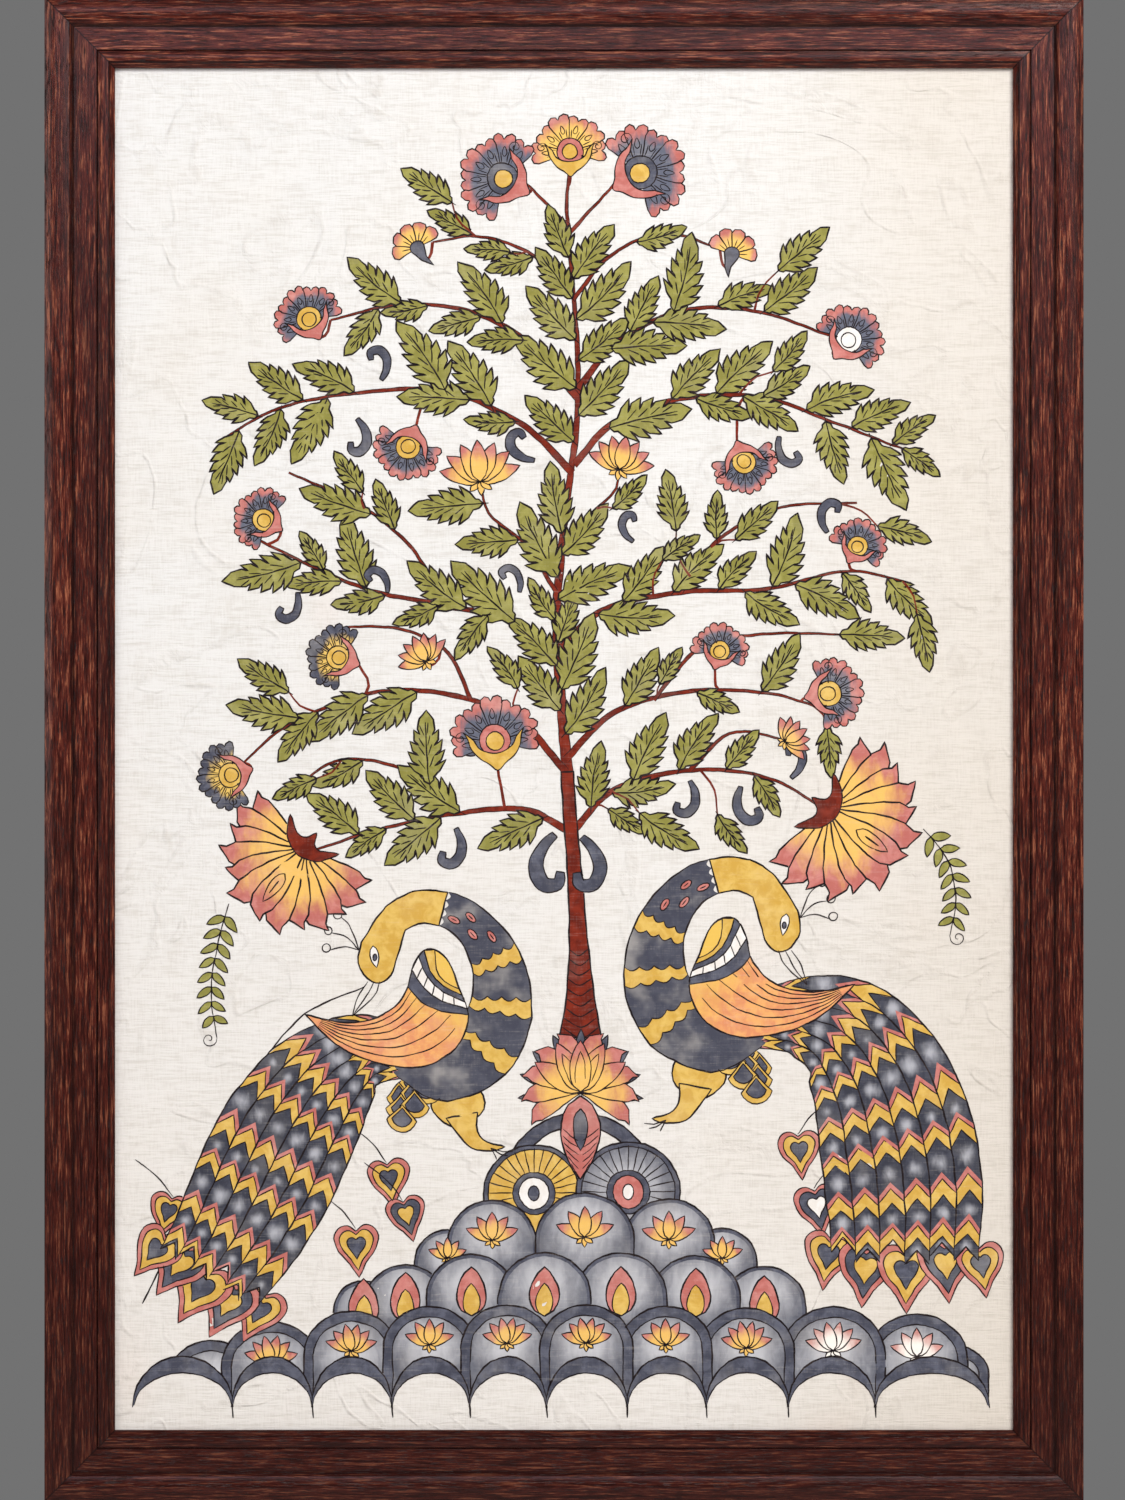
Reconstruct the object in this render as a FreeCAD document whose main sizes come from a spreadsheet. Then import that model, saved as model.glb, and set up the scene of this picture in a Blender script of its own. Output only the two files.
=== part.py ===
import FreeCAD, Part
import os
import Sketcher

# Framed cloth picture. X runs across, the front faces -Y, Z is up; millimetres.
# The origin is the middle of the bottom rail's underside, at half the rail's depth.

SIZES = {
    "sight_width": 600.0,
    "sight_height": 910.0,
    "outer_band": 16.5,
    "outer_crown": 1.6,
    "step_width": 3.0,
    "step_drop": 2.8,
    "middle_band": 15.0,
    "quirk_width": 1.0,
    "quirk_depth": 0.8,
    "inner_band": 7.0,
    "inner_crown": 0.5,
    "bevel_width": 4.0,
    "rail_depth": 32.0,
    "lip_thickness": 3.8,
    "rabbet_width": 7.5,
    "stretch_gap": 0.75,
    "cloth_thickness": 0.6,
    "cloth_turn_in": 25.0,
    "bar_width": 38.0,
    "bar_depth": 15.0,
    "bar_bead": 6.0,
    "bar_relief": 2.0,
    "brace_width": 35.0,
    "brace_depth": 9.0,
    "brace_tenon": 10.0,
    "key_insert": 9.0,
    "key_reach": 22.0,
    "key_tip": 15.0,
    "key_heel": 19.0,
    "key_thickness": 3.0,
    "key_setback": 2.3,
    "key_spacing": 1.5,
    "staple_crown": 10.0,
    "staple_wire": 0.5,
    "staple_band": 1.2,
    "staple_leg": 6.0,
    "staple_inset": 12.0,
    "staple_pitch_long": 72.0,
    "staple_pitch_short": 68.0,
    "board_thickness": 3.0,
    "board_gap": 1.0,
    "seat_gap": 0.1,
    "nail_leg": 8.0,
    "nail_sheet": 0.5,
    "nail_height": 10.0,
    "nail_inset": 12.0,
    "nail_spacing": 12.0,
    "screw_shank": 3.0,
    "screw_length": 14.0,
    "screw_head": 6.0,
    "screw_head_rise": 2.0,
    "screw_slot": 0.9,
    "screw_slot_depth": 1.0,
    "pivot_gap": 0.05,
    "button_width": 11.0,
    "button_toe": 7.0,
    "button_reach": 20.0,
    "button_thickness": 1.2,
    "button_gap": 0.1,
    "button_inset": 9.0,
    "button_height": 300.0,
    "button_offset": 160.0,
    "hanger_above_button": 50.0,
    "strap_width": 12.0,
    "strap_thickness": 2.0,
    "strap_length": 36.0,
    "strap_first_screw": 9.0,
    "strap_last_screw": 28.0,
    "eye_wall": 1.0,
    "ring_wire": 2.5,
    "ring_width": 20.0,
    "ring_reach": 15.0,
    "ring_bend": 3.0,
    "ring_rest_gap": 0.15,
    "bumper_width": 12.0,
    "bumper_thickness": 3.0,
    "bumper_height": 20.0,
}

# Pieces that repeat.
STAPLES_PER_HALF_LONG_BAR = 6
STAPLES_PER_HALF_SHORT_BAR = 4
OVERCUT = 1.0

doc = FreeCAD.newDocument("framed_cloth")
Vector = FreeCAD.Vector


class Size:
    """A length worked out from the sheet: its number, and the expression that gives it."""

    def __init__(self, number, text):
        self.number = float(number)
        self.text = text

    def __add__(self, other):
        other = as_size(other)
        return Size(self.number + other.number, f"({self.text} + {other.text})")

    def __sub__(self, other):
        other = as_size(other)
        return Size(self.number - other.number, f"({self.text} - {other.text})")

    def __rsub__(self, other):
        return as_size(other) - self

    def __mul__(self, other):
        other = as_size(other)
        return Size(self.number * other.number, f"({self.text} * {other.text})")

    def __truediv__(self, other):
        other = as_size(other)
        return Size(self.number / other.number, f"({self.text} / {other.text})")

    def __neg__(self):
        return as_size(0) - self

    __radd__ = __add__
    __rmul__ = __mul__


def as_size(value):
    return value if isinstance(value, Size) else Size(value, repr(float(value)))


def make_sheet():
    """Writes every driving size into the sheet and gives them back by name."""
    sheet = doc.addObject("Spreadsheet::Sheet", "sizes")
    for row, (name, number) in enumerate(SIZES.items(), start=1):
        sheet.set(f"A{row}", name)
        sheet.set(f"B{row}", str(number))
        sheet.setAlias(f"B{row}", name)
    doc.recompute()
    return {name: Size(number, f"sizes.{name}") for name, number in SIZES.items()}


s = make_sheet()

# Frame, seen from the front.
FACE = s["outer_band"] + s["step_width"] + s["middle_band"] + s["quirk_width"] + s["inner_band"] + s["bevel_width"]
WIDTH = s["sight_width"] + FACE * 2
HEIGHT = s["sight_height"] + FACE * 2
MIDDLE = HEIGHT / 2
BACK_FLAT = FACE - s["rabbet_width"]

# Stack in the rabbet, from the lip back to the turn buttons.
BACK = s["rail_depth"] / 2
STACK = s["cloth_thickness"] * 2 + s["bar_depth"] + s["staple_wire"] + s["board_thickness"] + s["seat_gap"]
LIP_BACK = BACK - STACK
BAR_FRONT = LIP_BACK + s["cloth_thickness"]
BAR_BACK = BAR_FRONT + s["bar_depth"]
CLOTH_BACK = BAR_BACK + s["cloth_thickness"]
BOARD_FRONT = CLOTH_BACK + s["staple_wire"]

# Stretcher, inside the cloth, and its distance from the frame's outer edges.
CLOTH_EDGE = BACK_FLAT + s["stretch_gap"]
BAR_EDGE = CLOTH_EDGE + s["cloth_thickness"]
BAR_SPAN_X = WIDTH - BAR_EDGE * 2
BAR_SPAN_Z = HEIGHT - BAR_EDGE * 2
BAR_INNER = BAR_EDGE + s["bar_width"]


def bind(item, path, value):
    """Ties one property of an object to a size."""
    item.setExpression(path, as_size(value).text)


def place(item, x=0.0, y=0.0, z=0.0, rotation=None):
    if rotation:
        item.Placement = FreeCAD.Placement(Vector(0, 0, 0), rotation)
    for axis, value in (("x", x), ("y", y), ("z", z)):
        bind(item, f"Placement.Base.{axis}", value)
    return item


def box(name, low, size):
    item = doc.addObject("Part::Box", name)
    for path, value in zip(("Length", "Width", "Height"), size):
        bind(item, path, value)
    return place(item, *low)


def cylinder(name, radius, length, x, y, z, axis):
    item = doc.addObject("Part::Cylinder", name)
    bind(item, "Radius", radius)
    bind(item, "Height", length)
    return place(item, x, y, z, FreeCAD.Rotation(Vector(0, 0, 1), axis))


def group(name, items):
    item = doc.addObject("Part::Compound", name)
    item.Links = items
    return item


def fuse(name, items):
    item = doc.addObject("Part::MultiFuse", name)
    item.Shapes = items
    item.Refine = True
    return item


def cut(name, base, tool):
    item = doc.addObject("Part::Cut", name)
    item.Base = base
    item.Tool = tool
    return item


def mirror_x(name, source):
    item = doc.addObject("Part::Mirroring", name)
    item.Source = source
    item.Normal = Vector(1, 0, 0)
    return item


def mirror_z(name, source):
    """Mirrors a piece in the plane at half the frame's height."""
    item = doc.addObject("Part::Mirroring", name)
    item.Source = source
    item.Normal = Vector(0, 0, 1)
    bind(item, "Base.z", MIDDLE)
    return item


def four_corners(name, items):
    """One group: pieces of the lower left quarter, repeated in the other three."""
    quarter = group(f"{name}_quarter", items)
    lower = group(f"{name}_lower", [quarter, mirror_x(f"{name}_lower_right", quarter)])
    return group(name, [lower, mirror_z(f"{name}_upper", lower)])


def sketch_on(body, name, role):
    sketch = body.newObject("Sketcher::SketchObject", name)
    plane = [item for item in body.Origin.OriginFeatures if item.Role == role][0]
    sketch.AttachmentSupport = [(plane, "")]
    sketch.MapMode = "FlatFace"
    return sketch


def outline(sketch, corners, arcs=None):
    """Adds a closed outline. arcs gives, by number, a round side's middle and where its centre lies."""
    arcs = arcs or {}
    first = sketch.GeometryCount
    points = [Vector(u.number, v.number, 0) for u, v in corners]
    starts = []
    for i, point in enumerate(points):
        after = points[(i + 1) % len(points)]
        if i in arcs:
            sketch.addGeometry(Part.Arc(point, arcs[i]["middle"], after))
        else:
            sketch.addGeometry(Part.LineSegment(point, after))
        begins = sketch.getPoint(first + i, 1).distanceToPoint(point) < 1e-6
        starts.append(1 if begins else 2)
    for i, corner in enumerate(corners):
        after = (i + 1) % len(points)
        joined = ("Coincident", first + i, 3 - starts[i], first + after, starts[after])
        sketch.addConstraint(Sketcher.Constraint(*joined))
        for axis, value in enumerate(corner):
            hold(sketch, first + i, starts[i], axis, value)
    for i, arc in arcs.items():
        hold(sketch, first + i, 3, arc["axis"], arc["centre"])


def hold(sketch, geometry, point, axis, value):
    """Ties one coordinate of a sketch point to a size: axis 0 is across, 1 is up."""
    kind = ("DistanceX", "DistanceY")[axis]
    held = Sketcher.Constraint(kind, -1, 1, geometry, point, value.number)
    bind(sketch, f"Constraints[{sketch.addConstraint(held)}]", value)


def crown(corners, i, rise, axis, way):
    """The arc over side i that stands out by rise, towards +1 or -1 of the given axis."""
    start = corners[i]
    end = corners[(i + 1) % len(corners)]
    chord = end[1 - axis] - start[1 - axis]
    radius = (chord * chord / 4 + rise * rise) / (rise * 2)
    middle = [(start[0] + end[0]).number / 2, (start[1] + end[1]).number / 2]
    middle[axis] += way * rise.number
    return {"middle": Vector(*middle, 0), "axis": axis, "centre": start[axis] - (radius - rise) * way}


def corner_list(*corners):
    return [(as_size(u), as_size(v)) for u, v in corners]


def pad(body, sketch, length, reverse=False):
    feature = body.newObject("PartDesign::Pad", f"{body.Name}_pad")
    feature.Profile = sketch
    bind(feature, "Length", length)
    feature.Reversed = reverse
    return feature


def plate(name, corners, thickness):
    """A flat piece: its outline in X and Z, its thickness backwards from Y = 0."""
    body = doc.addObject("PartDesign::Body", name)
    sketch = sketch_on(body, f"{name}_outline", "XZ_Plane")
    outline(sketch, corner_list(*corners))
    pad(body, sketch, thickness, reverse=True)
    return body


def mitred(name, upright, section, crowns, width, span):
    """A length of moulding with both ends mitred, from its section as (inwards, Y) corners.

    crowns gives, by number, how far a side of the section swells towards the front.
    """
    body = doc.addObject("PartDesign::Body", name)
    if upright:
        profile = sketch_on(body, f"{name}_section", "XY_Plane")
        outline(profile, section, {i: crown(section, i, rise, 1, -1) for i, rise in crowns.items()})
        ends = (
            ((-OVERCUT, -OVERCUT), (width + OVERCUT, -OVERCUT), (width + OVERCUT, width + OVERCUT)),
            (
                (-OVERCUT, span + OVERCUT),
                (width + OVERCUT, span + OVERCUT),
                (width + OVERCUT, span - width - OVERCUT),
            ),
        )
    else:
        profile = sketch_on(body, f"{name}_section", "YZ_Plane")
        turned = [(v, u) for u, v in section]
        outline(profile, turned, {i: crown(turned, i, rise, 0, -1) for i, rise in crowns.items()})
        ends = (
            ((-OVERCUT, -OVERCUT), (-OVERCUT, width + OVERCUT), (width + OVERCUT, width + OVERCUT)),
            (
                (span + OVERCUT, -OVERCUT),
                (span + OVERCUT, width + OVERCUT),
                (span - width - OVERCUT, width + OVERCUT),
            ),
        )
    length = pad(body, profile, span)
    doc.recompute()
    uncut = body.Shape.Volume
    mitre = sketch_on(body, f"{name}_mitre", "XZ_Plane")
    for end in ends:
        outline(mitre, corner_list(*end))
    pocket = body.newObject("PartDesign::Pocket", f"{name}_mitre_cut")
    pocket.Profile = mitre
    pocket.BaseFeature = length
    pocket.Type = "ThroughAll"
    pocket.SideType = "Symmetric"
    body.Tip = pocket
    doc.recompute()
    if not body.Shape.Volume < uncut:
        raise RuntimeError(f"{name}: the mitres cut nothing")
    return body


def rail_section():
    """The moulding's section and the two bands that are crowned."""
    band_edge = -BACK + s["outer_crown"]
    step_edge = s["outer_band"] + s["step_width"]
    low_face = band_edge + s["step_drop"]
    quirk_start = step_edge + s["middle_band"]
    quirk_end = quirk_start + s["quirk_width"]
    bevel_start = quirk_end + s["inner_band"]
    corners = corner_list(
        (0, BACK),
        (0, band_edge),
        (s["outer_band"], band_edge),
        (step_edge, low_face),
        (quirk_start, low_face),
        (quirk_start + s["quirk_width"] / 2, low_face + s["quirk_depth"]),
        (quirk_end, low_face),
        (bevel_start, low_face),
        (FACE, LIP_BACK - s["lip_thickness"]),
        (FACE, LIP_BACK),
        (BACK_FLAT, LIP_BACK),
        (BACK_FLAT, BACK),
    )
    return corners, {1: s["outer_crown"], 6: s["inner_crown"]}


def bar_section():
    """A stretcher bar's section: the outer bead carries the cloth, the rest falls back."""
    return corner_list(
        (0, BAR_FRONT),
        (s["bar_bead"], BAR_FRONT),
        (s["bar_width"], BAR_FRONT + s["bar_relief"]),
        (s["bar_width"], BAR_BACK),
        (0, BAR_BACK),
    )


def screw(name, x, y, z):
    """A slotted pan-head screw, its head's underside at (x, y, z), driven towards the front."""
    body = doc.addObject("PartDesign::Body", name)
    half = sketch_on(body, f"{name}_half", "XY_Plane")
    shank = s["screw_shank"] / 2
    head = s["screw_head"] / 2
    rise = s["screw_head_rise"]
    corners = corner_list(
        (0, -s["screw_length"]),
        (shank, -s["screw_length"] + s["screw_shank"]),
        (shank, 0),
        (head, 0),
        (head, rise / 2),
        (head - rise / 2, rise),
        (0, rise),
    )
    outline(half, corners)
    turned = body.newObject("PartDesign::Revolution", f"{name}_turned")
    turned.Profile = half
    turned.ReferenceAxis = (half, ["V_Axis"])
    turned.Angle = 360
    place(body, x, y, z)
    slot_low = (x - s["screw_head"], y + rise - s["screw_slot_depth"], z - s["screw_slot"] / 2)
    slot = box(f"{name}_slot", slot_low, (s["screw_head"] * 2, s["screw_slot_depth"] * 2, s["screw_slot"]))
    return cut(f"{name}_slotted", body, slot)


def staple(name, x, z, upright):
    """A staple on the cloth's turned edge, centred on (x, z), its crown along the bar."""
    half_crown = s["staple_crown"] / 2
    half_band = s["staple_band"] / 2
    depth = s["staple_leg"] + s["staple_wire"]
    gap = s["staple_crown"] - s["staple_wire"] * 2
    front = CLOTH_BACK - s["staple_leg"]
    if upright:
        outer_low = (x - half_band, front, z - half_crown)
        outer_size = (s["staple_band"], depth, s["staple_crown"])
        inner_low = (x - s["staple_band"], front - OVERCUT, z - half_crown + s["staple_wire"])
        inner_size = (s["staple_band"] * 2, s["staple_leg"] + OVERCUT, gap)
    else:
        outer_low = (x - half_crown, front, z - half_band)
        outer_size = (s["staple_crown"], depth, s["staple_band"])
        inner_low = (x - half_crown + s["staple_wire"], front - OVERCUT, z - s["staple_band"])
        inner_size = (gap, s["staple_leg"] + OVERCUT, s["staple_band"] * 2)
    return cut(name, box(f"{name}_bent", outer_low, outer_size), box(f"{name}_inside", inner_low, inner_size))


def corner_nails():
    """Two V-shaped nails across each mitre, pressed in from the back."""
    leg = s["nail_leg"]
    sheet = s["nail_sheet"]
    nails = []
    for i in range(2):
        corners = ((0, 0), (leg, 0), (leg, sheet), (sheet, sheet), (sheet, leg), (0, leg))
        nail = plate(f"corner_nail_{i + 1}", corners, s["nail_height"])
        inwards = s["nail_inset"] + s["nail_spacing"] * i
        nails.append(place(nail, -WIDTH / 2 + inwards, BACK - s["nail_height"], inwards))
    return four_corners("corner_v_nails", nails)


def corner_keys():
    """Two wedges per stretcher corner, one into each bar, in two layers."""
    tip = s["key_tip"]
    heel = s["key_heel"]
    insert = s["key_insert"]
    reach = s["key_reach"]
    lying = plate("lying_key", ((-insert, 0), (reach, 0), (reach, heel), (-insert, tip)), s["key_thickness"])
    standing = plate("standing_key", ((0, -insert), (tip, -insert), (heel, reach), (0, reach)), s["key_thickness"])
    first = BAR_BACK - s["key_setback"] - s["key_thickness"]
    second = first - s["key_spacing"] - s["key_thickness"]
    place(lying, -WIDTH / 2 + BAR_INNER, first, BAR_INNER)
    place(standing, -WIDTH / 2 + BAR_INNER, second, BAR_INNER)
    return four_corners("stretcher_keys", [lying, standing])


def staples():
    """Staples of the lower left quarter, in a row along each bar, repeated four times."""
    line = BAR_EDGE + s["staple_inset"]
    quarter = []
    for i in range(STAPLES_PER_HALF_LONG_BAR):
        z = MIDDLE - s["staple_pitch_long"] * (i + 0.5)
        quarter.append(staple(f"long_staple_{i + 1}", -WIDTH / 2 + line, z, True))
    for i in range(STAPLES_PER_HALF_SHORT_BAR):
        x = -(s["staple_pitch_short"] * (i + 0.5))
        quarter.append(staple(f"short_staple_{i + 1}", x, line, False))
    return four_corners("cloth_staples", quarter)


def painted_cloth(fasteners):
    """The cloth as one thin shell: front, four sides and the edges turned in behind the bars."""
    low = (-WIDTH / 2 + CLOTH_EDGE, LIP_BACK, CLOTH_EDGE)
    size = (WIDTH - CLOTH_EDGE * 2, CLOTH_BACK - LIP_BACK, HEIGHT - CLOTH_EDGE * 2)
    whole = box("cloth_block", low, size)
    within = box(
        "cloth_inside",
        (-WIDTH / 2 + BAR_EDGE, BAR_FRONT, BAR_EDGE),
        (BAR_SPAN_X, s["bar_depth"], BAR_SPAN_Z),
    )
    turn = CLOTH_EDGE + s["cloth_turn_in"]
    opening = box(
        "cloth_back_opening",
        (-WIDTH / 2 + turn, BAR_FRONT + s["bar_depth"] / 2, turn),
        (WIDTH - turn * 2, s["bar_depth"], HEIGHT - turn * 2),
    )
    return cut("painted_cloth", whole, fuse("cloth_hollow", [within, opening, fasteners]))


def turn_button(number, x, z, degrees):
    """A flat brass button that turns on its screw; it points along +X before it is turned."""
    name = f"turn_button_{number}"
    body = doc.addObject("PartDesign::Body", f"{name}_blank")
    sketch = sketch_on(body, f"{name}_outline", "XZ_Plane")
    heel = s["button_width"] / 2
    toe = s["button_toe"] / 2
    neck = s["button_reach"] - toe
    corners = corner_list((0, -heel), (neck, -toe), (neck, toe), (0, heel))
    outline(sketch, corners, {1: crown(corners, 1, toe, 0, 1), 3: crown(corners, 3, heel, 0, -1)})
    pad(body, sketch, s["button_thickness"], reverse=True)
    place(body, x, BACK + s["button_gap"], z, FreeCAD.Rotation(Vector(0, 1, 0), degrees))
    hole = cylinder(
        f"{name}_hole",
        s["screw_shank"] / 2 + s["pivot_gap"],
        s["button_thickness"] * 3,
        x,
        BACK + s["button_gap"] - s["button_thickness"],
        z,
        Vector(0, 1, 0),
    )
    return cut(name, body, hole)


def turn_buttons():
    """Eight buttons, two on each rail, all pointing over the backing board."""
    side_x = WIDTH / 2 - BACK_FLAT + s["button_inset"]
    end_z = BACK_FLAT - s["button_inset"]
    low_z = s["button_height"]
    seats = (
        (-side_x, low_z, 0),
        (-side_x, HEIGHT - low_z, 0),
        (side_x, low_z, 180),
        (side_x, HEIGHT - low_z, 180),
        (-s["button_offset"], end_z, -90),
        (s["button_offset"], end_z, -90),
        (-s["button_offset"], HEIGHT - end_z, 90),
        (s["button_offset"], HEIGHT - end_z, 90),
    )
    buttons = [turn_button(i, *seat) for i, seat in enumerate(seats, start=1)]
    head = BACK + s["button_gap"] * 2 + s["button_thickness"]
    screws = [
        screw("side_button_screw", -side_x, head, low_z),
        screw("end_button_screw", -s["button_offset"], head, end_z),
    ]
    return buttons, four_corners("turn_button_screws", screws)


# Hanger, on the left rail above the upper turn button: the eye's axis runs along X.
HANGER_X = -WIDTH / 2 + BACK_FLAT / 2
EYE_Z = HEIGHT - s["button_height"] + s["hanger_above_button"] + s["strap_length"]
EYE_RADIUS = s["ring_wire"] / 2 + s["pivot_gap"] + s["eye_wall"]
EYE_Y = BACK + EYE_RADIUS


def hanger_strap(screws):
    """A strap with a folded eye at its top and a rounded foot, screwed to the rail."""
    half = s["strap_width"] / 2
    foot = EYE_Z - s["strap_length"] + half
    upright = Vector(0, 1, 0)
    across = Vector(1, 0, 0)
    leaf = box(
        "strap_leaf",
        (HANGER_X - half, BACK, foot),
        (s["strap_width"], s["strap_thickness"], s["strap_length"] - half),
    )
    end = cylinder("strap_foot", half, s["strap_thickness"], HANGER_X, BACK, foot, upright)
    eye = cylinder("strap_eye", EYE_RADIUS, s["strap_width"], HANGER_X - half, EYE_Y, EYE_Z, across)
    bore = cylinder(
        "strap_bore",
        s["ring_wire"] / 2 + s["pivot_gap"],
        s["strap_width"] * 2,
        HANGER_X - s["strap_width"],
        EYE_Y,
        EYE_Z,
        across,
    )
    blank = cut("strap_blank", fuse("strap_solid", [leaf, end, eye]), bore)
    return cut("hanger_strap_left", blank, screws)


def hanger_ring():
    """A D-shaped wire ring: a straight bar in the eye, two bends, two sides and a round bow."""
    body = doc.addObject("PartDesign::Body", "hanger_ring_left")
    path = sketch_on(body, "ring_path", "XZ_Plane")
    half = s["ring_width"] / 2
    bend = s["ring_bend"]
    shoulder = s["ring_reach"] - half
    straight = half - bend
    corners = corner_list(
        (-straight, 0),
        (straight, 0),
        (half, bend),
        (half, shoulder),
        (-half, shoulder),
        (-half, bend),
    )
    aslant = bend.number * 0.5**0.5
    right = Vector(straight.number + aslant, bend.number - aslant, 0)
    left = Vector(-straight.number - aslant, bend.number - aslant, 0)
    arcs = {
        1: {"middle": right, "axis": 0, "centre": straight},
        3: crown(corners, 3, half, 1, 1),
        5: {"middle": left, "axis": 0, "centre": -straight},
    }
    outline(path, corners, arcs)
    wire = sketch_on(body, "ring_wire_section", "YZ_Plane")
    wire.addGeometry(Part.Circle(Vector(0, 0, 0), Vector(0, 0, 1), s["ring_wire"].number / 2))
    wire.addConstraint(Sketcher.Constraint("Coincident", 0, 3, -1, 1))
    held = Sketcher.Constraint("Radius", 0, s["ring_wire"].number / 2)
    bind(wire, f"Constraints[{wire.addConstraint(held)}]", s["ring_wire"] / 2)
    swept = body.newObject("PartDesign::AdditivePipe", "ring_swept")
    swept.Profile = wire
    swept.Spine = (path, [f"Edge{i + 1}" for i in range(6)])
    place(body, HANGER_X, EYE_Y, EYE_Z, FreeCAD.Rotation(Vector(1, 0, 0), 0))
    body.Placement.Rotation = FreeCAD.Rotation(Vector(1, 0, 0), 0)
    lean = (EYE_RADIUS - s["ring_wire"] / 2 - s["ring_rest_gap"]) / s["ring_reach"]
    body.setExpression("Placement.Rotation.Angle", f"asin({lean.text})")
    return body


def build():
    """Makes every piece and gives them back by node name."""
    nails = corner_nails()
    keys = corner_keys()
    tacks = staples()
    buttons, button_screws = turn_buttons()
    strap_face = BACK + s["strap_thickness"]
    left_screws = group(
        "hanger_screws_left",
        [
            screw("upper_hanger_screw", HANGER_X, strap_face, EYE_Z - s["strap_first_screw"]),
            screw("lower_hanger_screw", HANGER_X, strap_face, EYE_Z - s["strap_last_screw"]),
        ],
    )
    hanger_screws = group("hanger_screws", [left_screws, mirror_x("hanger_screws_right", left_screws)])
    strap = hanger_strap(left_screws)
    ring = hanger_ring()

    section, crowns = rail_section()
    holes = group("rail_fasteners", [nails, button_screws, hanger_screws])
    left_moulding = mitred("left_moulding", True, section, crowns, FACE, HEIGHT)
    bottom_moulding = mitred("bottom_moulding", False, section, crowns, FACE, WIDTH)
    place(left_moulding, x=-WIDTH / 2)
    place(bottom_moulding, x=-WIDTH / 2)
    left_rail = cut("left_rail", left_moulding, holes)
    bottom_rail = cut("bottom_rail", bottom_moulding, holes)

    brace = box(
        "stretcher_cross_brace",
        (-WIDTH / 2 + BAR_INNER - s["brace_tenon"], BAR_BACK - s["brace_depth"], MIDDLE - s["brace_width"] / 2),
        (WIDTH - BAR_INNER * 2 + s["brace_tenon"] * 2, s["brace_depth"], s["brace_width"]),
    )
    slots = group("bar_slots", [keys, tacks, brace])
    left_bar = mitred("left_bar", True, bar_section(), {}, s["bar_width"], BAR_SPAN_Z)
    bottom_bar = mitred("bottom_bar", False, bar_section(), {}, s["bar_width"], BAR_SPAN_X)
    place(left_bar, x=-WIDTH / 2 + BAR_EDGE, z=BAR_EDGE)
    place(bottom_bar, x=-WIDTH / 2 + BAR_EDGE, z=BAR_EDGE)
    stretcher_left = cut("stretcher_left", left_bar, slots)
    stretcher_bottom = cut("stretcher_bottom", bottom_bar, slots)

    board_edge = BACK_FLAT + s["board_gap"]
    board = box(
        "backing_board",
        (-WIDTH / 2 + board_edge, BOARD_FRONT, board_edge),
        (WIDTH - board_edge * 2, s["board_thickness"], HEIGHT - board_edge * 2),
    )
    backwards = Vector(0, 1, 0)
    bumper = cylinder(
        "wall_bumper_left",
        s["bumper_width"] / 2,
        s["bumper_thickness"],
        HANGER_X,
        BACK,
        s["bumper_height"],
        backwards,
    )

    nodes = {
        "left_rail": left_rail,
        "right_rail": mirror_x("right_rail", left_rail),
        "bottom_rail": bottom_rail,
        "top_rail": mirror_z("top_rail", bottom_rail),
        "corner_v_nails": nails,
        "stretcher_left": stretcher_left,
        "stretcher_right": mirror_x("stretcher_right", stretcher_left),
        "stretcher_bottom": stretcher_bottom,
        "stretcher_top": mirror_z("stretcher_top", stretcher_bottom),
        "stretcher_cross_brace": brace,
        "stretcher_keys": keys,
        "painted_cloth": painted_cloth(tacks),
        "cloth_staples": tacks,
        "backing_board": board,
        "turn_button_screws": button_screws,
        "hanger_strap_left": strap,
        "hanger_strap_right": mirror_x("hanger_strap_right", strap),
        "hanger_ring_left": ring,
        "hanger_ring_right": mirror_x("hanger_ring_right", ring),
        "hanger_screws": hanger_screws,
        "wall_bumpers": group("wall_bumpers", [bumper, mirror_x("wall_bumper_right", bumper)]),
    }
    for i, button in enumerate(buttons, start=1):
        nodes[f"turn_button_{i}"] = button
    return nodes


def export(nodes):
    """Checks every object, then writes one file for each node."""
    doc.recompute()
    for item in doc.Objects:
        if "Invalid" in item.State or "Error" in item.State:
            raise RuntimeError(f"{item.Label} failed: {item.State}")
    for name, item in nodes.items():
        item.Label = name
        if item.Shape.isNull() or not item.Shape.isValid() or not item.Shape.Solids:
            raise RuntimeError(f"{name} has no sound shape")
    os.makedirs("parts", exist_ok=True)
    for name, item in nodes.items():
        item.Shape.exportStep(f"parts/{name}.step")
        print(name, len(item.Shape.Solids), round(item.Shape.Volume, 1))


export(build())
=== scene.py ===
import cmath
import math
import random
import bpy
import numpy as np
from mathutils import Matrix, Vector, noise
from mathutils.geometry import delaunay_2d_cdt


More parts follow.
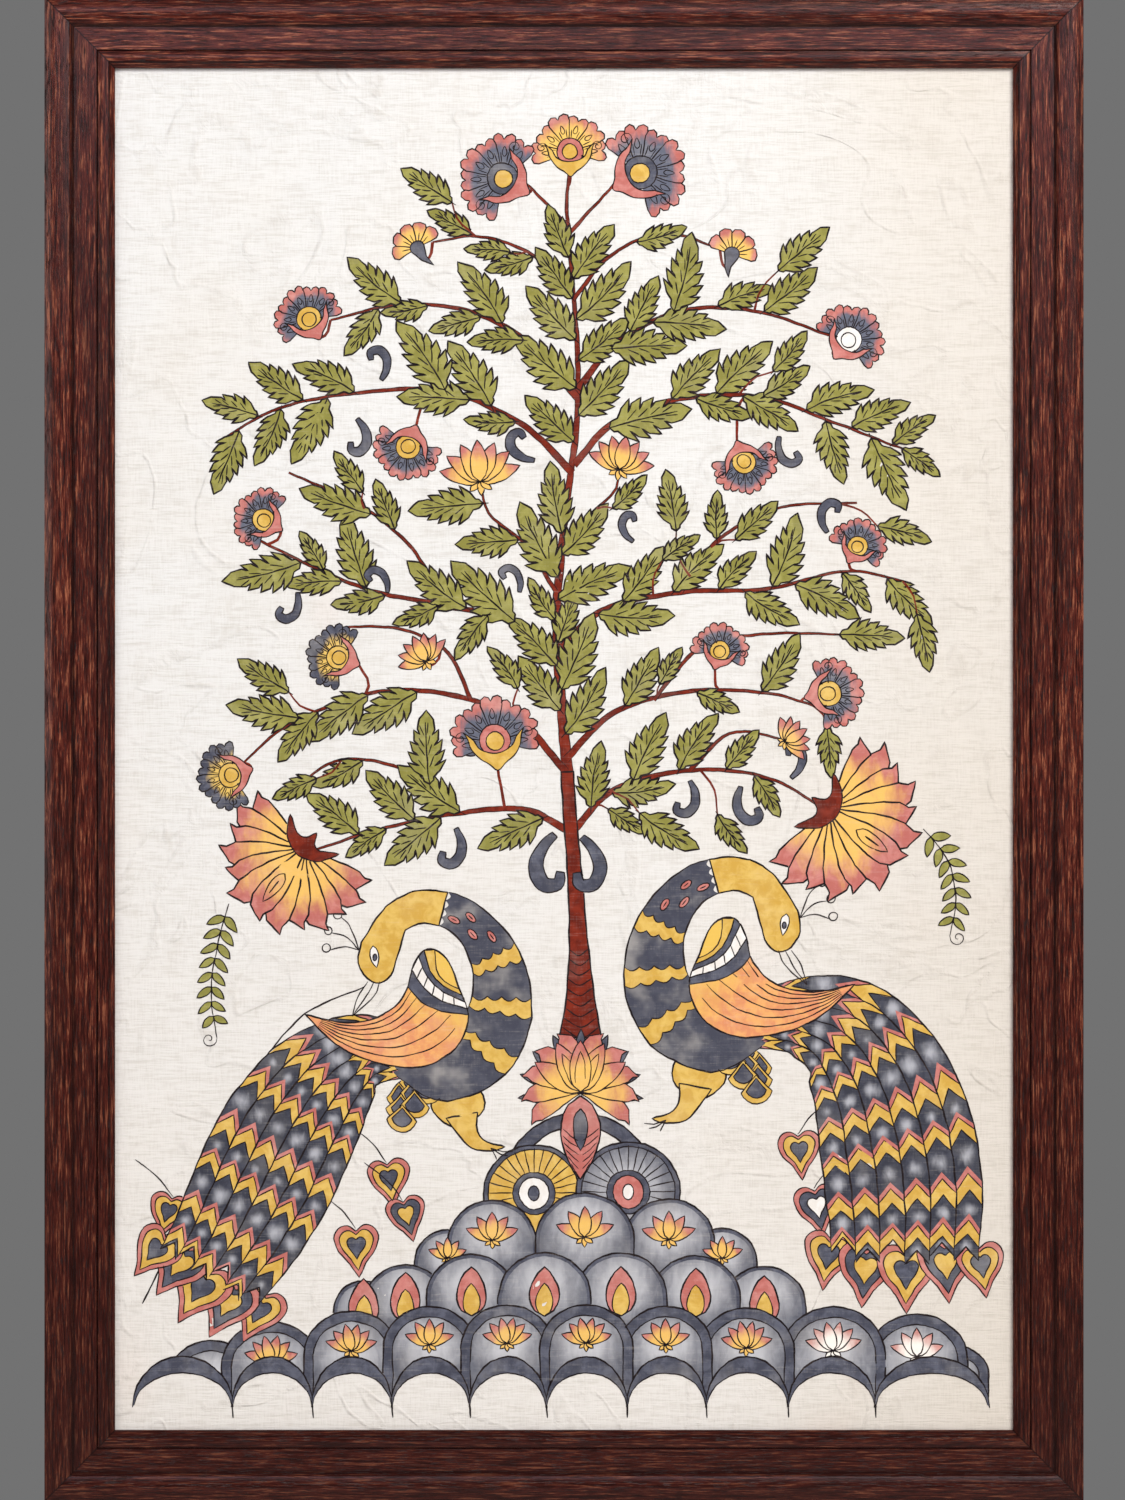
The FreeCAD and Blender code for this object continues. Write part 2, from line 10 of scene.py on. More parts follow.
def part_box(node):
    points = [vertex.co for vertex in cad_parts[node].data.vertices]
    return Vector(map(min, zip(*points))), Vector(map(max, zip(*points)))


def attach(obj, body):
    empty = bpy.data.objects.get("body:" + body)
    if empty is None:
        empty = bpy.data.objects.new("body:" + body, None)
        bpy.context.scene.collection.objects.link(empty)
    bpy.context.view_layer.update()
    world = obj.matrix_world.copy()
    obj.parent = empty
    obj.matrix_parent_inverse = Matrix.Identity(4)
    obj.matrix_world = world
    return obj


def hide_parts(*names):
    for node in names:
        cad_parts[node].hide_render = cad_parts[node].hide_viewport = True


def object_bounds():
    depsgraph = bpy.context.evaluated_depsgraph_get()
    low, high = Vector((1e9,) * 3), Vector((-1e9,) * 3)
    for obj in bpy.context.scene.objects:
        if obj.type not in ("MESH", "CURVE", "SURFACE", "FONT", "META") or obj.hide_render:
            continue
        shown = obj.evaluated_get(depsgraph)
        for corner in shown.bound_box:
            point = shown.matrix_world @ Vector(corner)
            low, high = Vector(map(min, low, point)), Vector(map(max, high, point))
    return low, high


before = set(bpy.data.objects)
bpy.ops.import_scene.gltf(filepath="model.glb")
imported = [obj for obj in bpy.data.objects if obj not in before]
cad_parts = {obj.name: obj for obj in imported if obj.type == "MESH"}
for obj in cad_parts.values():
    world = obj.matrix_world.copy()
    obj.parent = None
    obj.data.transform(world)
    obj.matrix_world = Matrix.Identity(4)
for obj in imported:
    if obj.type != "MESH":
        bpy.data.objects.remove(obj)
CAD_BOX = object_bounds()
MM = 0.001

# The picture on the cloth is drawn in millimetres, from the middle of the sight opening's bottom edge:
# x to the right, y up. A point is one complex number, so turning and scaling are products.
SIGHT_LOW = Vector((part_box("left_rail")[1].x, 0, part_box("bottom_rail")[1].z))
SIGHT_HIGH = Vector((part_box("right_rail")[0].x, 0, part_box("top_rail")[0].z))
CLOTH_LOW, CLOTH_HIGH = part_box("painted_cloth")
SIGHT_WIDTH = (SIGHT_HIGH.x - SIGHT_LOW.x) / MM
SIGHT_HEIGHT = (SIGHT_HIGH.z - SIGHT_LOW.z) / MM
DYE_LIFT = 0.12 * MM
INK_LIFT = 0.20 * MM
TURN_IN = 25 * MM
# Where the rail's moulding breaks, from its outer edge; the wood is painted darker along these lines as
# shade.
STEP_FOOT = 19.0 * MM
QUIRK = 35.0 * MM
BEVEL_TOP = 42.8 * MM

CROWN_REACH = 256
CROWN_TOP = 872
INK_LINE = 1.1
FINE_LINE = 0.8
HAIR_LINE = FINE_LINE * 0.8
SCALE_RIM = 2.6
# The mound is highest here, and its scales overlap towards it.
MOUND_X = 8
HAND_SEED = 5


def srgb(red, green, blue):
    """A colour given as a screen shows it, 0 to 255, as the linear colour that shaders take."""
    linear = []
    for value in (red, green, blue):
        share = value / 255
        linear.append(share / 12.92 if share <= 0.04045 else ((share + 0.055) / 1.055) ** 2.4)
    return (*linear, 1.0)


CREAM = srgb(226, 221, 210)
SLATE = srgb(92, 95, 108)
SLATE_DEEP = srgb(68, 70, 82)
OCHRE = srgb(216, 182, 98)
ROSE = srgb(198, 128, 120)
ROSE_DEEP = srgb(180, 104, 96)
CLOTH_SPECULAR = 0.1


# Cloth surface

def ripples():
    """Creases left by handling: centre, heading, length, spread, wavelength and height, in mm."""
    dice = random.Random(11)
    found = [
        (-215, 800, 52, 120, 34, 40, 0.55),
        (-150, 700, 60, 90, 26, 32, 0.42),
        (230, 640, 118, 110, 30, 34, 0.52),
        (255, 520, 105, 90, 24, 30, 0.46),
        (-240, 500, 40, 90, 26, 32, 0.42),
        (60, 220, 150, 110, 26, 34, 0.42),
        (-60, 860, 8, 130, 20, 30, 0.38),
        (180, 860, 172, 110, 22, 30, 0.42),
    ]
    for _ in range(26):
        place = (dice.uniform(-280, 280), dice.uniform(30, 880), dice.uniform(0, 180))
        shape = (dice.uniform(35, 80), dice.uniform(9, 16), dice.uniform(14, 24), dice.uniform(0.12, 0.26))
        found.append(place + shape)
    return found


RIPPLES = ripples()


def cloth_y(x, z):
    """Where the cloth's face lies, for arrays of x and z in metres."""
    across = (np.asarray(x, float) - (SIGHT_LOW.x + SIGHT_HIGH.x) / 2) / MM
    up = (np.asarray(z, float) - SIGHT_LOW.z) / MM
    swell = 0.30 * np.sin(across / 61 + 0.7) * np.sin(up / 83 + 0.3) + 0.16 * np.sin(across / 33 - up / 47)
    for cx, cy, degrees, length, spread, wave, height in RIPPLES:
        turn = math.radians(degrees)
        along = (across - cx) * math.cos(turn) + (up - cy) * math.sin(turn)
        side = (up - cy) * math.cos(turn) - (across - cx) * math.sin(turn)
        bell = np.exp(-((along / length) ** 2) - (side / spread) ** 2)
        swell = swell + height * bell * np.cos(2 * math.pi * side / wave)
    edge = np.minimum(SIGHT_WIDTH / 2 - np.abs(across), np.minimum(up, SIGHT_HEIGHT - up))
    hold = np.clip(edge / 16, 0, 1)
    return CLOTH_LOW.y + swell * hold * hold * (3 - 2 * hold) * MM


def mesh_piece(name, points, faces, material):
    mesh = bpy.data.meshes.new(name)
    mesh.from_pydata([tuple(p) for p in points], [], faces)
    mesh.materials.append(material)
    piece = bpy.data.objects.new(name, mesh)
    bpy.context.scene.collection.objects.link(piece)
    mesh.polygons.foreach_set("use_smooth", [True] * len(mesh.polygons))
    return piece


def cloth_sheet(material):
    """The cloth: its face, and four edges folded round the stretcher."""
    step = 4.5 * MM
    width = CLOTH_HIGH.x - CLOTH_LOW.x
    height = CLOTH_HIGH.z - CLOTH_LOW.z
    xs = np.linspace(CLOTH_LOW.x, CLOTH_HIGH.x, round(width / step) + 1)
    zs = np.linspace(CLOTH_LOW.z, CLOTH_HIGH.z, round(height / step) + 1)
    grid_x, grid_z = np.meshgrid(xs, zs)
    points = np.stack([grid_x, cloth_y(grid_x, grid_z), grid_z], axis=-1).reshape(-1, 3).tolist()
    across = len(xs)
    faces = []
    for row in range(len(zs) - 1):
        for column in range(across - 1):
            a = row * across + column
            faces.append((a, a + 1, a + 1 + across, a + across))
    depth = CLOTH_HIGH.y - CLOTH_LOW.y
    folds = [(0.0, depth * 0.5), (0.0, depth), (TURN_IN * 0.5, depth), (TURN_IN, depth)]
    last_row = (len(zs) - 1) * across
    edges = (
        ([row * across for row in range(len(zs))][::-1], (1, 0)),
        ([row * across + across - 1 for row in range(len(zs))], (-1, 0)),
        (list(range(across)), (0, 1)),
        ([last_row + column for column in range(across)][::-1], (0, -1)),
    )
    for edge, (inwards_x, inwards_z) in edges:
        before = edge
        for inwards, back in folds:
            after = []
            for corner in edge:
                x, _, z = points[corner]
                after.append(len(points))
                points.append([x + inwards_x * inwards, CLOTH_LOW.y + back, z + inwards_z * inwards])
            for i in range(len(edge) - 1):
                faces.append((before[i + 1], before[i], after[i], after[i + 1]))
            before = after
    piece = mesh_piece("painted_cotton", points, faces, material)
    rounding = piece.modifiers.new("hem", "SOLIDIFY")
    rounding.thickness = 0.3 * MM
    rounding.offset = -1
    return piece, width, height, depth


# Drawing

class Picture:
    """Dyed shapes, each with the dye and its own gradient direction, and ink lines over them.

    layer is the pile that shapes and lines are laid on; within a pile, the later one is on top.
    """

    def __init__(self):
        self.fills = []
        self.lines = []
        self.layer = 0
        self.drawn = 0
        self.cell = 2.0
        self.taken = np.zeros((int(SIGHT_HEIGHT / self.cell) + 1, int(SIGHT_WIDTH / self.cell) + 1), bool)

    def rank(self):
        self.drawn += 1
        return self.layer * 100000 + self.drawn

    def fill(self, dye, points, origin=None, reach=None):
        """A dyed shape. reach is the complex step from origin that the gradient runs along."""
        points = [complex(p) for p in points]
        if origin is None:
            origin = sum(points) / len(points)
            reach = max(abs(p - origin) for p in points)
        self.fills.append((self.rank(), dye, points, complex(origin), complex(reach)))

    def line(self, points, width=INK_LINE, ends=0.5, closed=False):
        points = [complex(p) for p in points]
        if closed:
            points = points + points[:1]
        self.lines.append((self.rank(), points, width, 1.0 if closed else ends))

    def shape(self, dye, points, origin=None, reach=None, width=INK_LINE):
        """A dyed shape with its ink outline."""
        self.fill(dye, points, origin, reach)
        self.line(points, width, closed=True)

    def fine(self, dye, points, origin=None, reach=None):
        self.shape(dye, points, origin, reach, FINE_LINE)

    def take(self, points):
        rows, columns = cells_inside(points, self.cell, self.taken.shape)
        self.taken[rows, columns] = True

    def overlap(self, points):
        """The share of an outline that is already drawn on, or lies outside the cloth."""
        rows, columns = cells_inside(points, self.cell, self.taken.shape)
        reach = max(abs(p.real) for p in points)
        top = max(p.imag for p in points)
        if len(rows) == 0 or reach > CROWN_REACH or top > CROWN_TOP:
            return 1.0
        return float(self.taken[rows, columns].mean())


def smooth(points, steps=6, closed=False):
    """A smooth line through the points."""
    points = [complex(*p) if isinstance(p, tuple) else complex(p) for p in points]
    count = len(points)
    spans = count if closed else count - 1
    line = []
    for i in range(spans):
        if closed:
            a, b, c, d = (points[(i + k) % count] for k in (-1, 0, 1, 2))
        else:
            b, c = points[i], points[i + 1]
            a = points[i - 1] if i else 2 * b - c
            d = points[i + 2] if i + 2 < count else 2 * c - b
        for k in range(steps):
            t = k / steps
            line.append(
                0.5
                * (
                    2 * b
                    + (c - a) * t
                    + (2 * a - 5 * b + 4 * c - d) * t * t
                    + (3 * b - a - 3 * c + d) * t * t * t
                )
            )
    if not closed:
        line.append(points[-1])
    return line


class Path:
    """A smooth line that can be asked for a point, a heading and an offset at any length along it."""

    def __init__(self, points, steps=10):
        self.points = np.array(smooth(points, steps))
        steps_made = np.abs(np.diff(self.points))
        self.at_length = np.concatenate([[0], np.cumsum(steps_made)])
        self.length = float(self.at_length[-1])

    def on_line(self, s):
        real = np.interp(s, self.at_length, self.points.real)
        imag = np.interp(s, self.at_length, self.points.imag)
        return complex(real, imag)

    def point(self, s):
        beyond = max(s - self.length, 0) - max(-s, 0)
        return self.on_line(s) + beyond * self.heading(s)

    def heading(self, s):
        reach = 1.0
        s = min(max(s, 0), self.length)
        step = self.on_line(min(s + reach, self.length)) - self.on_line(max(s - reach, 0))
        return step / abs(step)

    def beside(self, s, side):
        return self.point(s) + self.heading(s) * 1j * side


def turned(degrees):
    return cmath.exp(1j * math.radians(degrees))


def arc(centre, radius_x, radius_y, start, end, count=14):
    angles = [math.radians(start + (end - start) * i / (count - 1)) for i in range(count)]
    return [centre + complex(radius_x * math.cos(a), radius_y * math.sin(a)) for a in angles]


def outside_in(count):
    """The numbers below count, the outermost first and the middle last, as petals overlap."""
    return sorted(range(count), key=lambda i: -abs(i - (count - 1) / 2))


def laid(base, heading, length, local, bend=0.0):
    """An outline given in shares of a length, laid along a heading and bent sideways."""
    return [base + heading * complex(t * length, (w + bend * t * t) * length) for t, w in local]


def ribbon(path, halves):
    """The left and right edges of a band along a path, from its half widths at even steps."""
    steps = [path.length * i / (len(halves) - 1) for i in range(len(halves))]
    left = [path.beside(s, half) for s, half in zip(steps, halves)]
    return left, [path.beside(s, -half) for s, half in zip(steps, halves)]


def cells_inside(points, cell, shape):
    """The rows and columns of the cells whose middles are inside an outline."""
    xs = np.array([p.real for p in points]) + SIGHT_WIDTH / 2
    ys = np.array([p.imag for p in points])
    left = max(int(xs.min() / cell), 0)
    right = min(int(xs.max() / cell) + 1, shape[1])
    low = max(int(ys.min() / cell), 0)
    high = min(int(ys.max() / cell) + 1, shape[0])
    if right <= left or high <= low:
        return np.zeros(0, int), np.zeros(0, int)
    columns, rows = np.meshgrid(np.arange(left, right), np.arange(low, high))
    inside = inside_outline((columns + 0.5) * cell, (rows + 0.5) * cell, xs, ys)
    return rows[inside], columns[inside]


def room_for_leaf(picture, base, heading, length, dice, allowed):
    """The freest way a leaf can lie here, by turning and shortening it, or None."""
    best = None
    for turn in (0, 12, -12, 24, -24):
        for share in (1.0, 0.86, 0.72):
            way = heading * turned(turn)
            size = length * share
            bend = dice.uniform(-0.18, 0.18)
            outline = leaf_outline(base, way, size, 0.225, bend, 5 if size > 38 else 4)
            grown = leaf_outline(base + way * size * 0.10, way, size * 1.05, 0.30, bend)
            found = picture.overlap(grown)
            if best is None or found < best[0] - 0.02:
                best = (found, way, size, outline, bend)
        if best[0] <= allowed * 0.5:
            break
    return best if best[0] <= allowed else None


def lobed_petal(base, way, inner, outer, spread, lobes):
    """One broad petal of a fan, its end cut into round lobes; spread is its full angle."""
    half = spread / 2
    outline = [(inner, -half * 0.8), ((inner + outer) / 2, -half * 0.96)]
    for i in range(lobes):
        start = -half + spread * i / lobes
        width = spread / lobes
        dip = 0.90 if i else 0.84
        reach = outer * (1.0 - 0.05 * abs(2 * (i + 0.5) / lobes - 1))
        outline.append((reach * dip, start + width * 0.04))
        outline += [(reach * 0.985, start + width * 0.18), (reach * 1.03, start + width * 0.48)]
        outline.append((reach * 0.985, start + width * 0.82))
    outline += [(outer * 0.84, half), ((inner + outer) / 2, half * 0.96), (inner, half * 0.8)]
    return [base + way * radius * turned(degrees) for radius, degrees in outline]


def small_fan(picture, base, degrees, radius):
    """A small five-lobed fan on a hooked slate cup."""
    heading = turned(degrees)
    for i in outside_in(5):
        way = heading * turned((i - 2) * 36)
        outline = lobed_petal(base, way, radius * 0.20, radius, 40, 1)
        picture.fine("warm_fan", outline, base, way * radius)
        picture.line([base + way * radius * 0.3, base + way * radius * 0.62], HAIR_LINE)
    cup = arc(base, radius * 0.30, radius * 0.30, degrees - 90, degrees + 90, 9)
    stem = ((-0.2, 0.22), (-0.52, 0.10), (-0.90, -0.22), (-0.46, -0.14), (-0.14, -0.26))
    picture.fine("slate", cup + [base + heading * radius * complex(*p) for p in stem])
    picture.take(arc(base, radius, radius, 0, 345, 16))


def great_petal(base, way, length, width, bend):
    """A long petal, widest two thirds out, with a sharp tip that hooks outwards."""
    profile = ((0.0, 0.16), (0.18, 0.42), (0.40, 0.80), (0.62, 1.0), (0.80, 0.96), (0.91, 0.62))
    side = 1 if bend >= 0 else -1
    left = [(t, width * w) for t, w in profile]
    right = [(t, -width * w) for t, w in profile]
    return laid(base, way, length, left + [(1.0, side * width * 0.70)] + right[::-1], bend)


def tile_outline(centre, radius, rise, foot):
    """Straight sides from the foot up to a round top."""
    crown = arc(centre, radius, rise, 0, 180, 17)
    return [complex(centre.real + radius, foot)] + crown + [complex(centre.real - radius, foot)]


def scale_tile(picture, centre, radius, rise, foot):
    """One scale: a dark rim round a paler face that darkens again towards its edge."""
    picture.shape("slate", tile_outline(centre, radius, rise, foot))
    face = tile_outline(centre, radius - SCALE_RIM, rise - SCALE_RIM, foot)
    picture.fill("wash", face, centre + rise * 0.30j, radius * 1.02)


def draw_eye(picture, place, x, y, degrees, size, kind):
    """One more feather eye, on a thin stalk from the tail."""
    dyes = (("rose", "ochre", "slate"), ("rose", "slate", "ochre"), ("rose", "slate", "white"))[kind]
    top = complex(x, y)
    way = place(top + turned(degrees)) - place(top)
    stalk = smooth([top + complex(0, -2), top + complex(9, 10), top + complex(24, 22)], 5)
    picture.line(mapped(place, stalk), FINE_LINE)
    feather_eye(picture, place(top), math.degrees(cmath.phase(way)), size, dyes)


def top_ranks(fills, cell):
    """For each small cell of the cloth, the rank of the shape that lies on top there."""
    tops = np.zeros((int(SIGHT_HEIGHT / cell) + 1, int(SIGHT_WIDTH / cell) + 1), int)
    for rank, _, outline, _, _ in fills:
        rows, columns = cells_inside(outline, cell, tops.shape)
        tops[rows, columns] = rank
    return tops


def visible_runs(points, rank, tops, cell):
    """The parts of a line that no later shape covers."""
    runs, run = [], [points[0]]
    for a, b in zip(points, points[1:]):
        middle = (a + b) / 2
        row = min(max(int(middle.imag / cell), 0), tops.shape[0] - 1)
        column = min(max(int((middle.real + SIGHT_WIDTH / 2) / cell), 0), tops.shape[1] - 1)
        if tops[row, column] > rank:
            if len(run) > 1:
                runs.append(run)
            run = [b]
        else:
            run.append(b)
    if len(run) > 1:
        runs.append(run)
    return runs


def inside_outline(px, py, xs, ys):
    """Which of the points px, py the outline xs, ys goes round at least once."""
    winding = np.zeros(px.shape, int)
    for i in range(len(xs)):
        x0, y0, x1, y1 = xs[i - 1], ys[i - 1], xs[i], ys[i]
        if y0 != y1:
            crossed = ((y0 > py) != (y1 > py)) & (px < (x1 - x0) * (py - y0) / (y1 - y0) + x0)
            winding += np.where(crossed, 1 if y1 > y0 else -1, 0)
    return winding != 0


def topmost(found, triangles, owners, outlines):
    """For each triangle, the last shape that it really lies in, or -1."""
    places = np.array([(v.x, v.y) for v in found])
    middles = places[np.array([t[:3] for t in triangles])].mean(axis=1)
    claims = {}
    for index, owner in enumerate(owners):
        for shape in owner:
            claims.setdefault(shape, []).append(index)
    tops = np.full(len(triangles), -1)
    for shape in sorted(claims):
        claimed = np.array(claims[shape])
        xs = [p.real for p in outlines[shape]]
        ys = [p.imag for p in outlines[shape]]
        tops[claimed[inside_outline(middles[claimed, 0], middles[claimed, 1], xs, ys)]] = shape
    return tops


def join(picture, paths, end, heading):
    """A stalk that leaves the nearest limb and meets a flower's cup from behind."""
    nearest = None
    for path, start in paths:
        for i in range(25):
            s = start + (path.length - start) * i / 24
            point = path.point(s)
            if nearest is None or abs(point - end) < abs(nearest - end):
                nearest = point
    gap = abs(nearest - end)
    if gap > 1.5:
        branch(picture, (nearest, (nearest + end) / 2 - heading * gap * 0.22, end), 2.0, 1.8)


# Plant motifs

def leaf_outline(base, heading, length, width, bend, teeth=5):
    """A broad leaf, its edge cut into sharp teeth that lean towards the drawn-out tip."""
    step = 0.72 / teeth
    sides = []
    for side in (1, -1):
        edge = [(0.05, side * width * 0.30)]
        for i in range(teeth):
            start = 0.11 + step * i + (0.022 if side > 0 else -0.016)
            middle = start + 0.52 * step
            tip = start + 1.50 * step
            body = [math.sin(math.pi * min(t, 1) ** 0.70) ** 0.8 for t in (start, middle, tip)]
            edge.append((start, side * width * body[0] * 0.52))
            edge.append((middle, side * width * body[1] * 0.92))
            edge.append((tip, side * width * (body[2] * 1.06 + 0.15)))
        sides.append(edge)
    left, right = sides
    return laid(base, heading, length, [(0, 0)] + left + [(1.04, 0)] + right[::-1], bend)


def leaf(picture, base, heading, length, dice, outline, bend):
    """A leaf with its outline given: the midrib and four veins on either side."""
    picture.shape("leaf", outline, base, heading * length)
    stations = (-0.08, 0.2, 0.45, 0.68, 0.86)
    rib = [base + heading * complex(t * length, bend * t * t * length) for t in stations]
    picture.line(rib, INK_LINE * 0.9)
    for side in (1, -1):
        for i in range(4):
            t = 0.22 + 0.15 * i + dice.uniform(-0.02, 0.02)
            reach = 0.115 - 0.018 * i
            root = complex(t * length, (bend * t * t + side * 0.02) * length)
            tip = complex((t + 0.16) * length, (bend * t * t + side * reach) * length)
            picture.line([base + heading * (root + (tip - root) * k) for k in (0.1, 0.55, 1.0)], FINE_LINE)


def try_leaf(picture, base, heading, length, dice, allowed=0.03, stalk_from=None):
    """Draws a leaf if there's room, with a stalk from the limb where one is asked for."""
    room = room_for_leaf(picture, base, heading, length, dice, allowed)
    if room is None:
        return False
    _, way, size, outline, bend = room
    if stalk_from is not None:
        bow = (stalk_from + base) / 2 + (base - stalk_from) * 0.12j
        branch(picture, (stalk_from, bow, base), 1.7, 1.0)
    leaf(picture, base, way, size, dice, outline, bend)
    picture.take(outline)
    return True


def branch(picture, points, thick, thin):
    """A limb that tapers from thick to thin, in mm."""
    path = Path(points)
    count = max(int(path.length / 5), 4)
    halves = [(thick + (thin - thick) * (i / count) ** 0.7) / 2 for i in range(count + 1)]
    left, right = ribbon(path, halves)
    picture.fill("branch", left + right[::-1], path.point(0), path.heading(path.length / 2) * path.length)
    if thick > 2.2:
        picture.line(left, 0.45)
        picture.line(right, 0.45)
    return path


def petal_outline(base, heading, length, width, bend=0.0, sharp=1.0, count=9):
    """A pointed petal: full in the middle, its tip drawn out."""
    stations = [i / count for i in range(1, count)]
    left = [(t, width * math.sin(math.pi * t**0.78) ** (0.75 * sharp)) for t in stations]
    right = [(t, -half) for t, half in left]
    return laid(base, heading, length, [(0, 0)] + left + [(1, 0)] + right[::-1], bend)


def fan_blossom(picture, base, degrees, radius, petals, dye, heart):
    """A blossom seen from the side: lobed petals in a fan, a ringed heart and a cup of sepals."""
    heading = turned(degrees)
    step = 214 / petals
    drop_shape = ((0.50, 0), (0.58, 0.055), (0.72, 0), (0.58, -0.055))
    for i in outside_in(petals):
        way = heading * turned((i - (petals - 1) / 2) * step)
        size = radius * (1.0 if i % 2 else 0.94)
        picture.fine(dye, lobed_petal(base, way, radius * 0.22, size, step * 1.12, 2), base, way * radius)
        drop = [base + way * radius * complex(x, y) for x, y in drop_shape]
        picture.line(smooth(drop, 3, closed=True), HAIR_LINE, closed=True)
        for lean in (-0.28, 0.28):
            ray = way * turned(step * lean)
            picture.line([base + ray * radius * 0.38, base + ray * radius * 0.60], HAIR_LINE)
    picture.fine(heart, arc(base + heading * radius * 0.04, radius * 0.34, radius * 0.34, 0, 345, 18))
    inner = arc(base + heading * radius * 0.02, radius * 0.20, radius * 0.20, 0, 340, 14)
    picture.fine("white" if heart == "white" else "ochre", inner)
    outer = [(0.26, 0.66), (0.10, 0.58), (-0.12, 0.52), (-0.34, 0.36), (-0.48, 0.16), (-0.62, 0.0)]
    hollow = ((0.08, 0.46), (-0.10, 0.36), (-0.20, 0.20), (-0.24, 0.0))
    outer = outer + [(x, -y) for x, y in outer[-2::-1]]
    hollow = [(x, -y) for x, y in hollow] + [(x, y) for x, y in hollow[-2::-1]]
    cup = [base + heading * radius * p for p in smooth(outer, 3) + smooth(hollow, 3)]
    picture.fine("ochre" if heart == "rose" else "rose", cup, base - heading * radius * 0.5, heading * radius)
    for side in (1, -1):
        tip = base + heading * radius * complex(0.26, side * 0.66)
        tendril(picture, tip, heading * turned(side * 60), radius * 0.13, side)
    picture.take(arc(base + heading * radius * 0.12, radius * 1.02, radius * 1.06, 0, 345, 20))


def tendril(picture, start, heading, size, side=1):
    """A fine ink curl."""
    points = []
    count = 16
    for i in range(count + 1):
        t = i / count
        angle = side * (2 * math.pi * 1.3 * t - math.pi / 2)
        radius = size * (1 - 0.86 * t)
        points.append(start + heading * (complex(0, side * size) + radius * cmath.exp(1j * angle)))
    picture.line(points, HAIR_LINE)


def lotus(picture, base, degrees, size, petals=5, dye="bloom"):
    """A small lotus: pointed petals opening upwards, and three short sepals below."""
    heading = turned(degrees)
    for lean in (-52, 0, 52):
        way = heading * turned(180 + lean)
        picture.fine(dye, petal_outline(base, way, size * 0.34, 0.26, count=5), base, way * size)
    for i in outside_in(petals):
        lean = (i - (petals - 1) / 2) * (150 / petals)
        way = heading * turned(lean)
        picture.fine(dye, petal_outline(base, way, size, 0.21, 0.0022 * lean, count=7), base, way * size)


def great_blossom(picture, base, degrees, size):
    """A large drooping blossom: one fan of broad overlapping petals from a horned dark cup."""
    heading = turned(degrees)
    count = 13
    for i in outside_in(count):
        lean = (i - (count - 1) / 2) * 14.6
        way = heading * turned(lean)
        length = size * (1.0 - 0.0016 * abs(lean)) * (1.0 if i % 2 else 0.93)
        outline = great_petal(base, way, length, 0.155, 0.0021 * lean)
        picture.shape("bloom", outline, base, way * length)
        picture.take(outline)
    eye = petal_outline(base + heading * size * 0.34, heading, size * 0.40, 0.17, count=8)
    picture.line(eye, FINE_LINE, closed=True)
    picture.line([base + heading * size * t for t in (0.45, 0.62)])
    horns = ((-0.24, 0.0), (-0.12, 0.06), (-0.10, 0.16), (-0.20, 0.34), (-0.02, 0.24), (0.06, 0.12))
    horns = [complex(*p) for p in horns + ((0.09, 0.0),)]
    horns = horns + [p.conjugate() * 1.05 for p in horns[5:0:-1]]
    picture.fine("branch", smooth([base + heading * size * p for p in horns], 3, closed=True))


def hook(picture, start, degrees, size, side=1):
    """A slate-dyed comma that curls over at its end."""
    heading = turned(degrees)
    bends = ((0.34, 0.10), (0.74, 0.04), (0.96, -0.24), (0.84, -0.50), (0.60, -0.44))
    spine = smooth([start] + [start + heading * size * complex(x, y * side) for x, y in bends], 5)
    count = len(spine) - 1
    left, right = [], []
    for i, p in enumerate(spine):
        before, after = spine[max(i - 1, 0)], spine[min(i + 1, count)]
        across = (after - before) / abs(after - before) * 1j
        half = size * (0.02 + 0.125 * math.sin(math.pi * min(0.12 + 0.72 * i / count, 1)))
        left.append(p + across * half)
        right.append(p - across * half)
    outline = left + right[::-1]
    picture.fine("slate", outline)
    picture.take(outline)


def sprig(picture, points, pairs, side):
    """A hanging twig with paired leaflets and a curl at its end."""
    path = Path(points)
    picture.line([path.point(path.length * i / 20) for i in range(21)], FINE_LINE)
    for i in range(pairs):
        s = path.length * (0.10 + 0.74 * i / (pairs - 1))
        for way in (1, -1):
            heading = path.heading(s) * turned(52 * way)
            outline = petal_outline(path.point(s), heading, 13.5 - 0.35 * i, 0.21, count=6)
            picture.fine("leaf", outline, path.point(s), heading * 12)
            picture.take(outline)
    tendril(picture, path.point(path.length), path.heading(path.length), 5.5, side)


def trunk(picture):
    """The trunk, flaring to its foot, with scalloped bark lines."""
    path = Path(((11, 262), (11, 290), (10, 320), (8, 360), (5, 398), (2, 440)))

    def half_width(s):
        return 4.0 + 10.5 * math.exp(-s / 42)

    left, right = ribbon(path, [half_width(path.length * i / 24) for i in range(25)])
    outline = left + right[::-1]
    picture.shape("branch", outline, path.point(0), path.heading(0) * path.length)
    picture.take(outline)
    for i in range(9):
        s = 7 + 6.5 * i
        half = half_width(s)
        start, end = path.beside(s, half * 0.95), path.beside(s, -half * 0.95)
        sag = -path.heading(s) * half * 0.55
        picture.line(smooth([start, (start + end) / 2 + sag, end], 5), FINE_LINE)


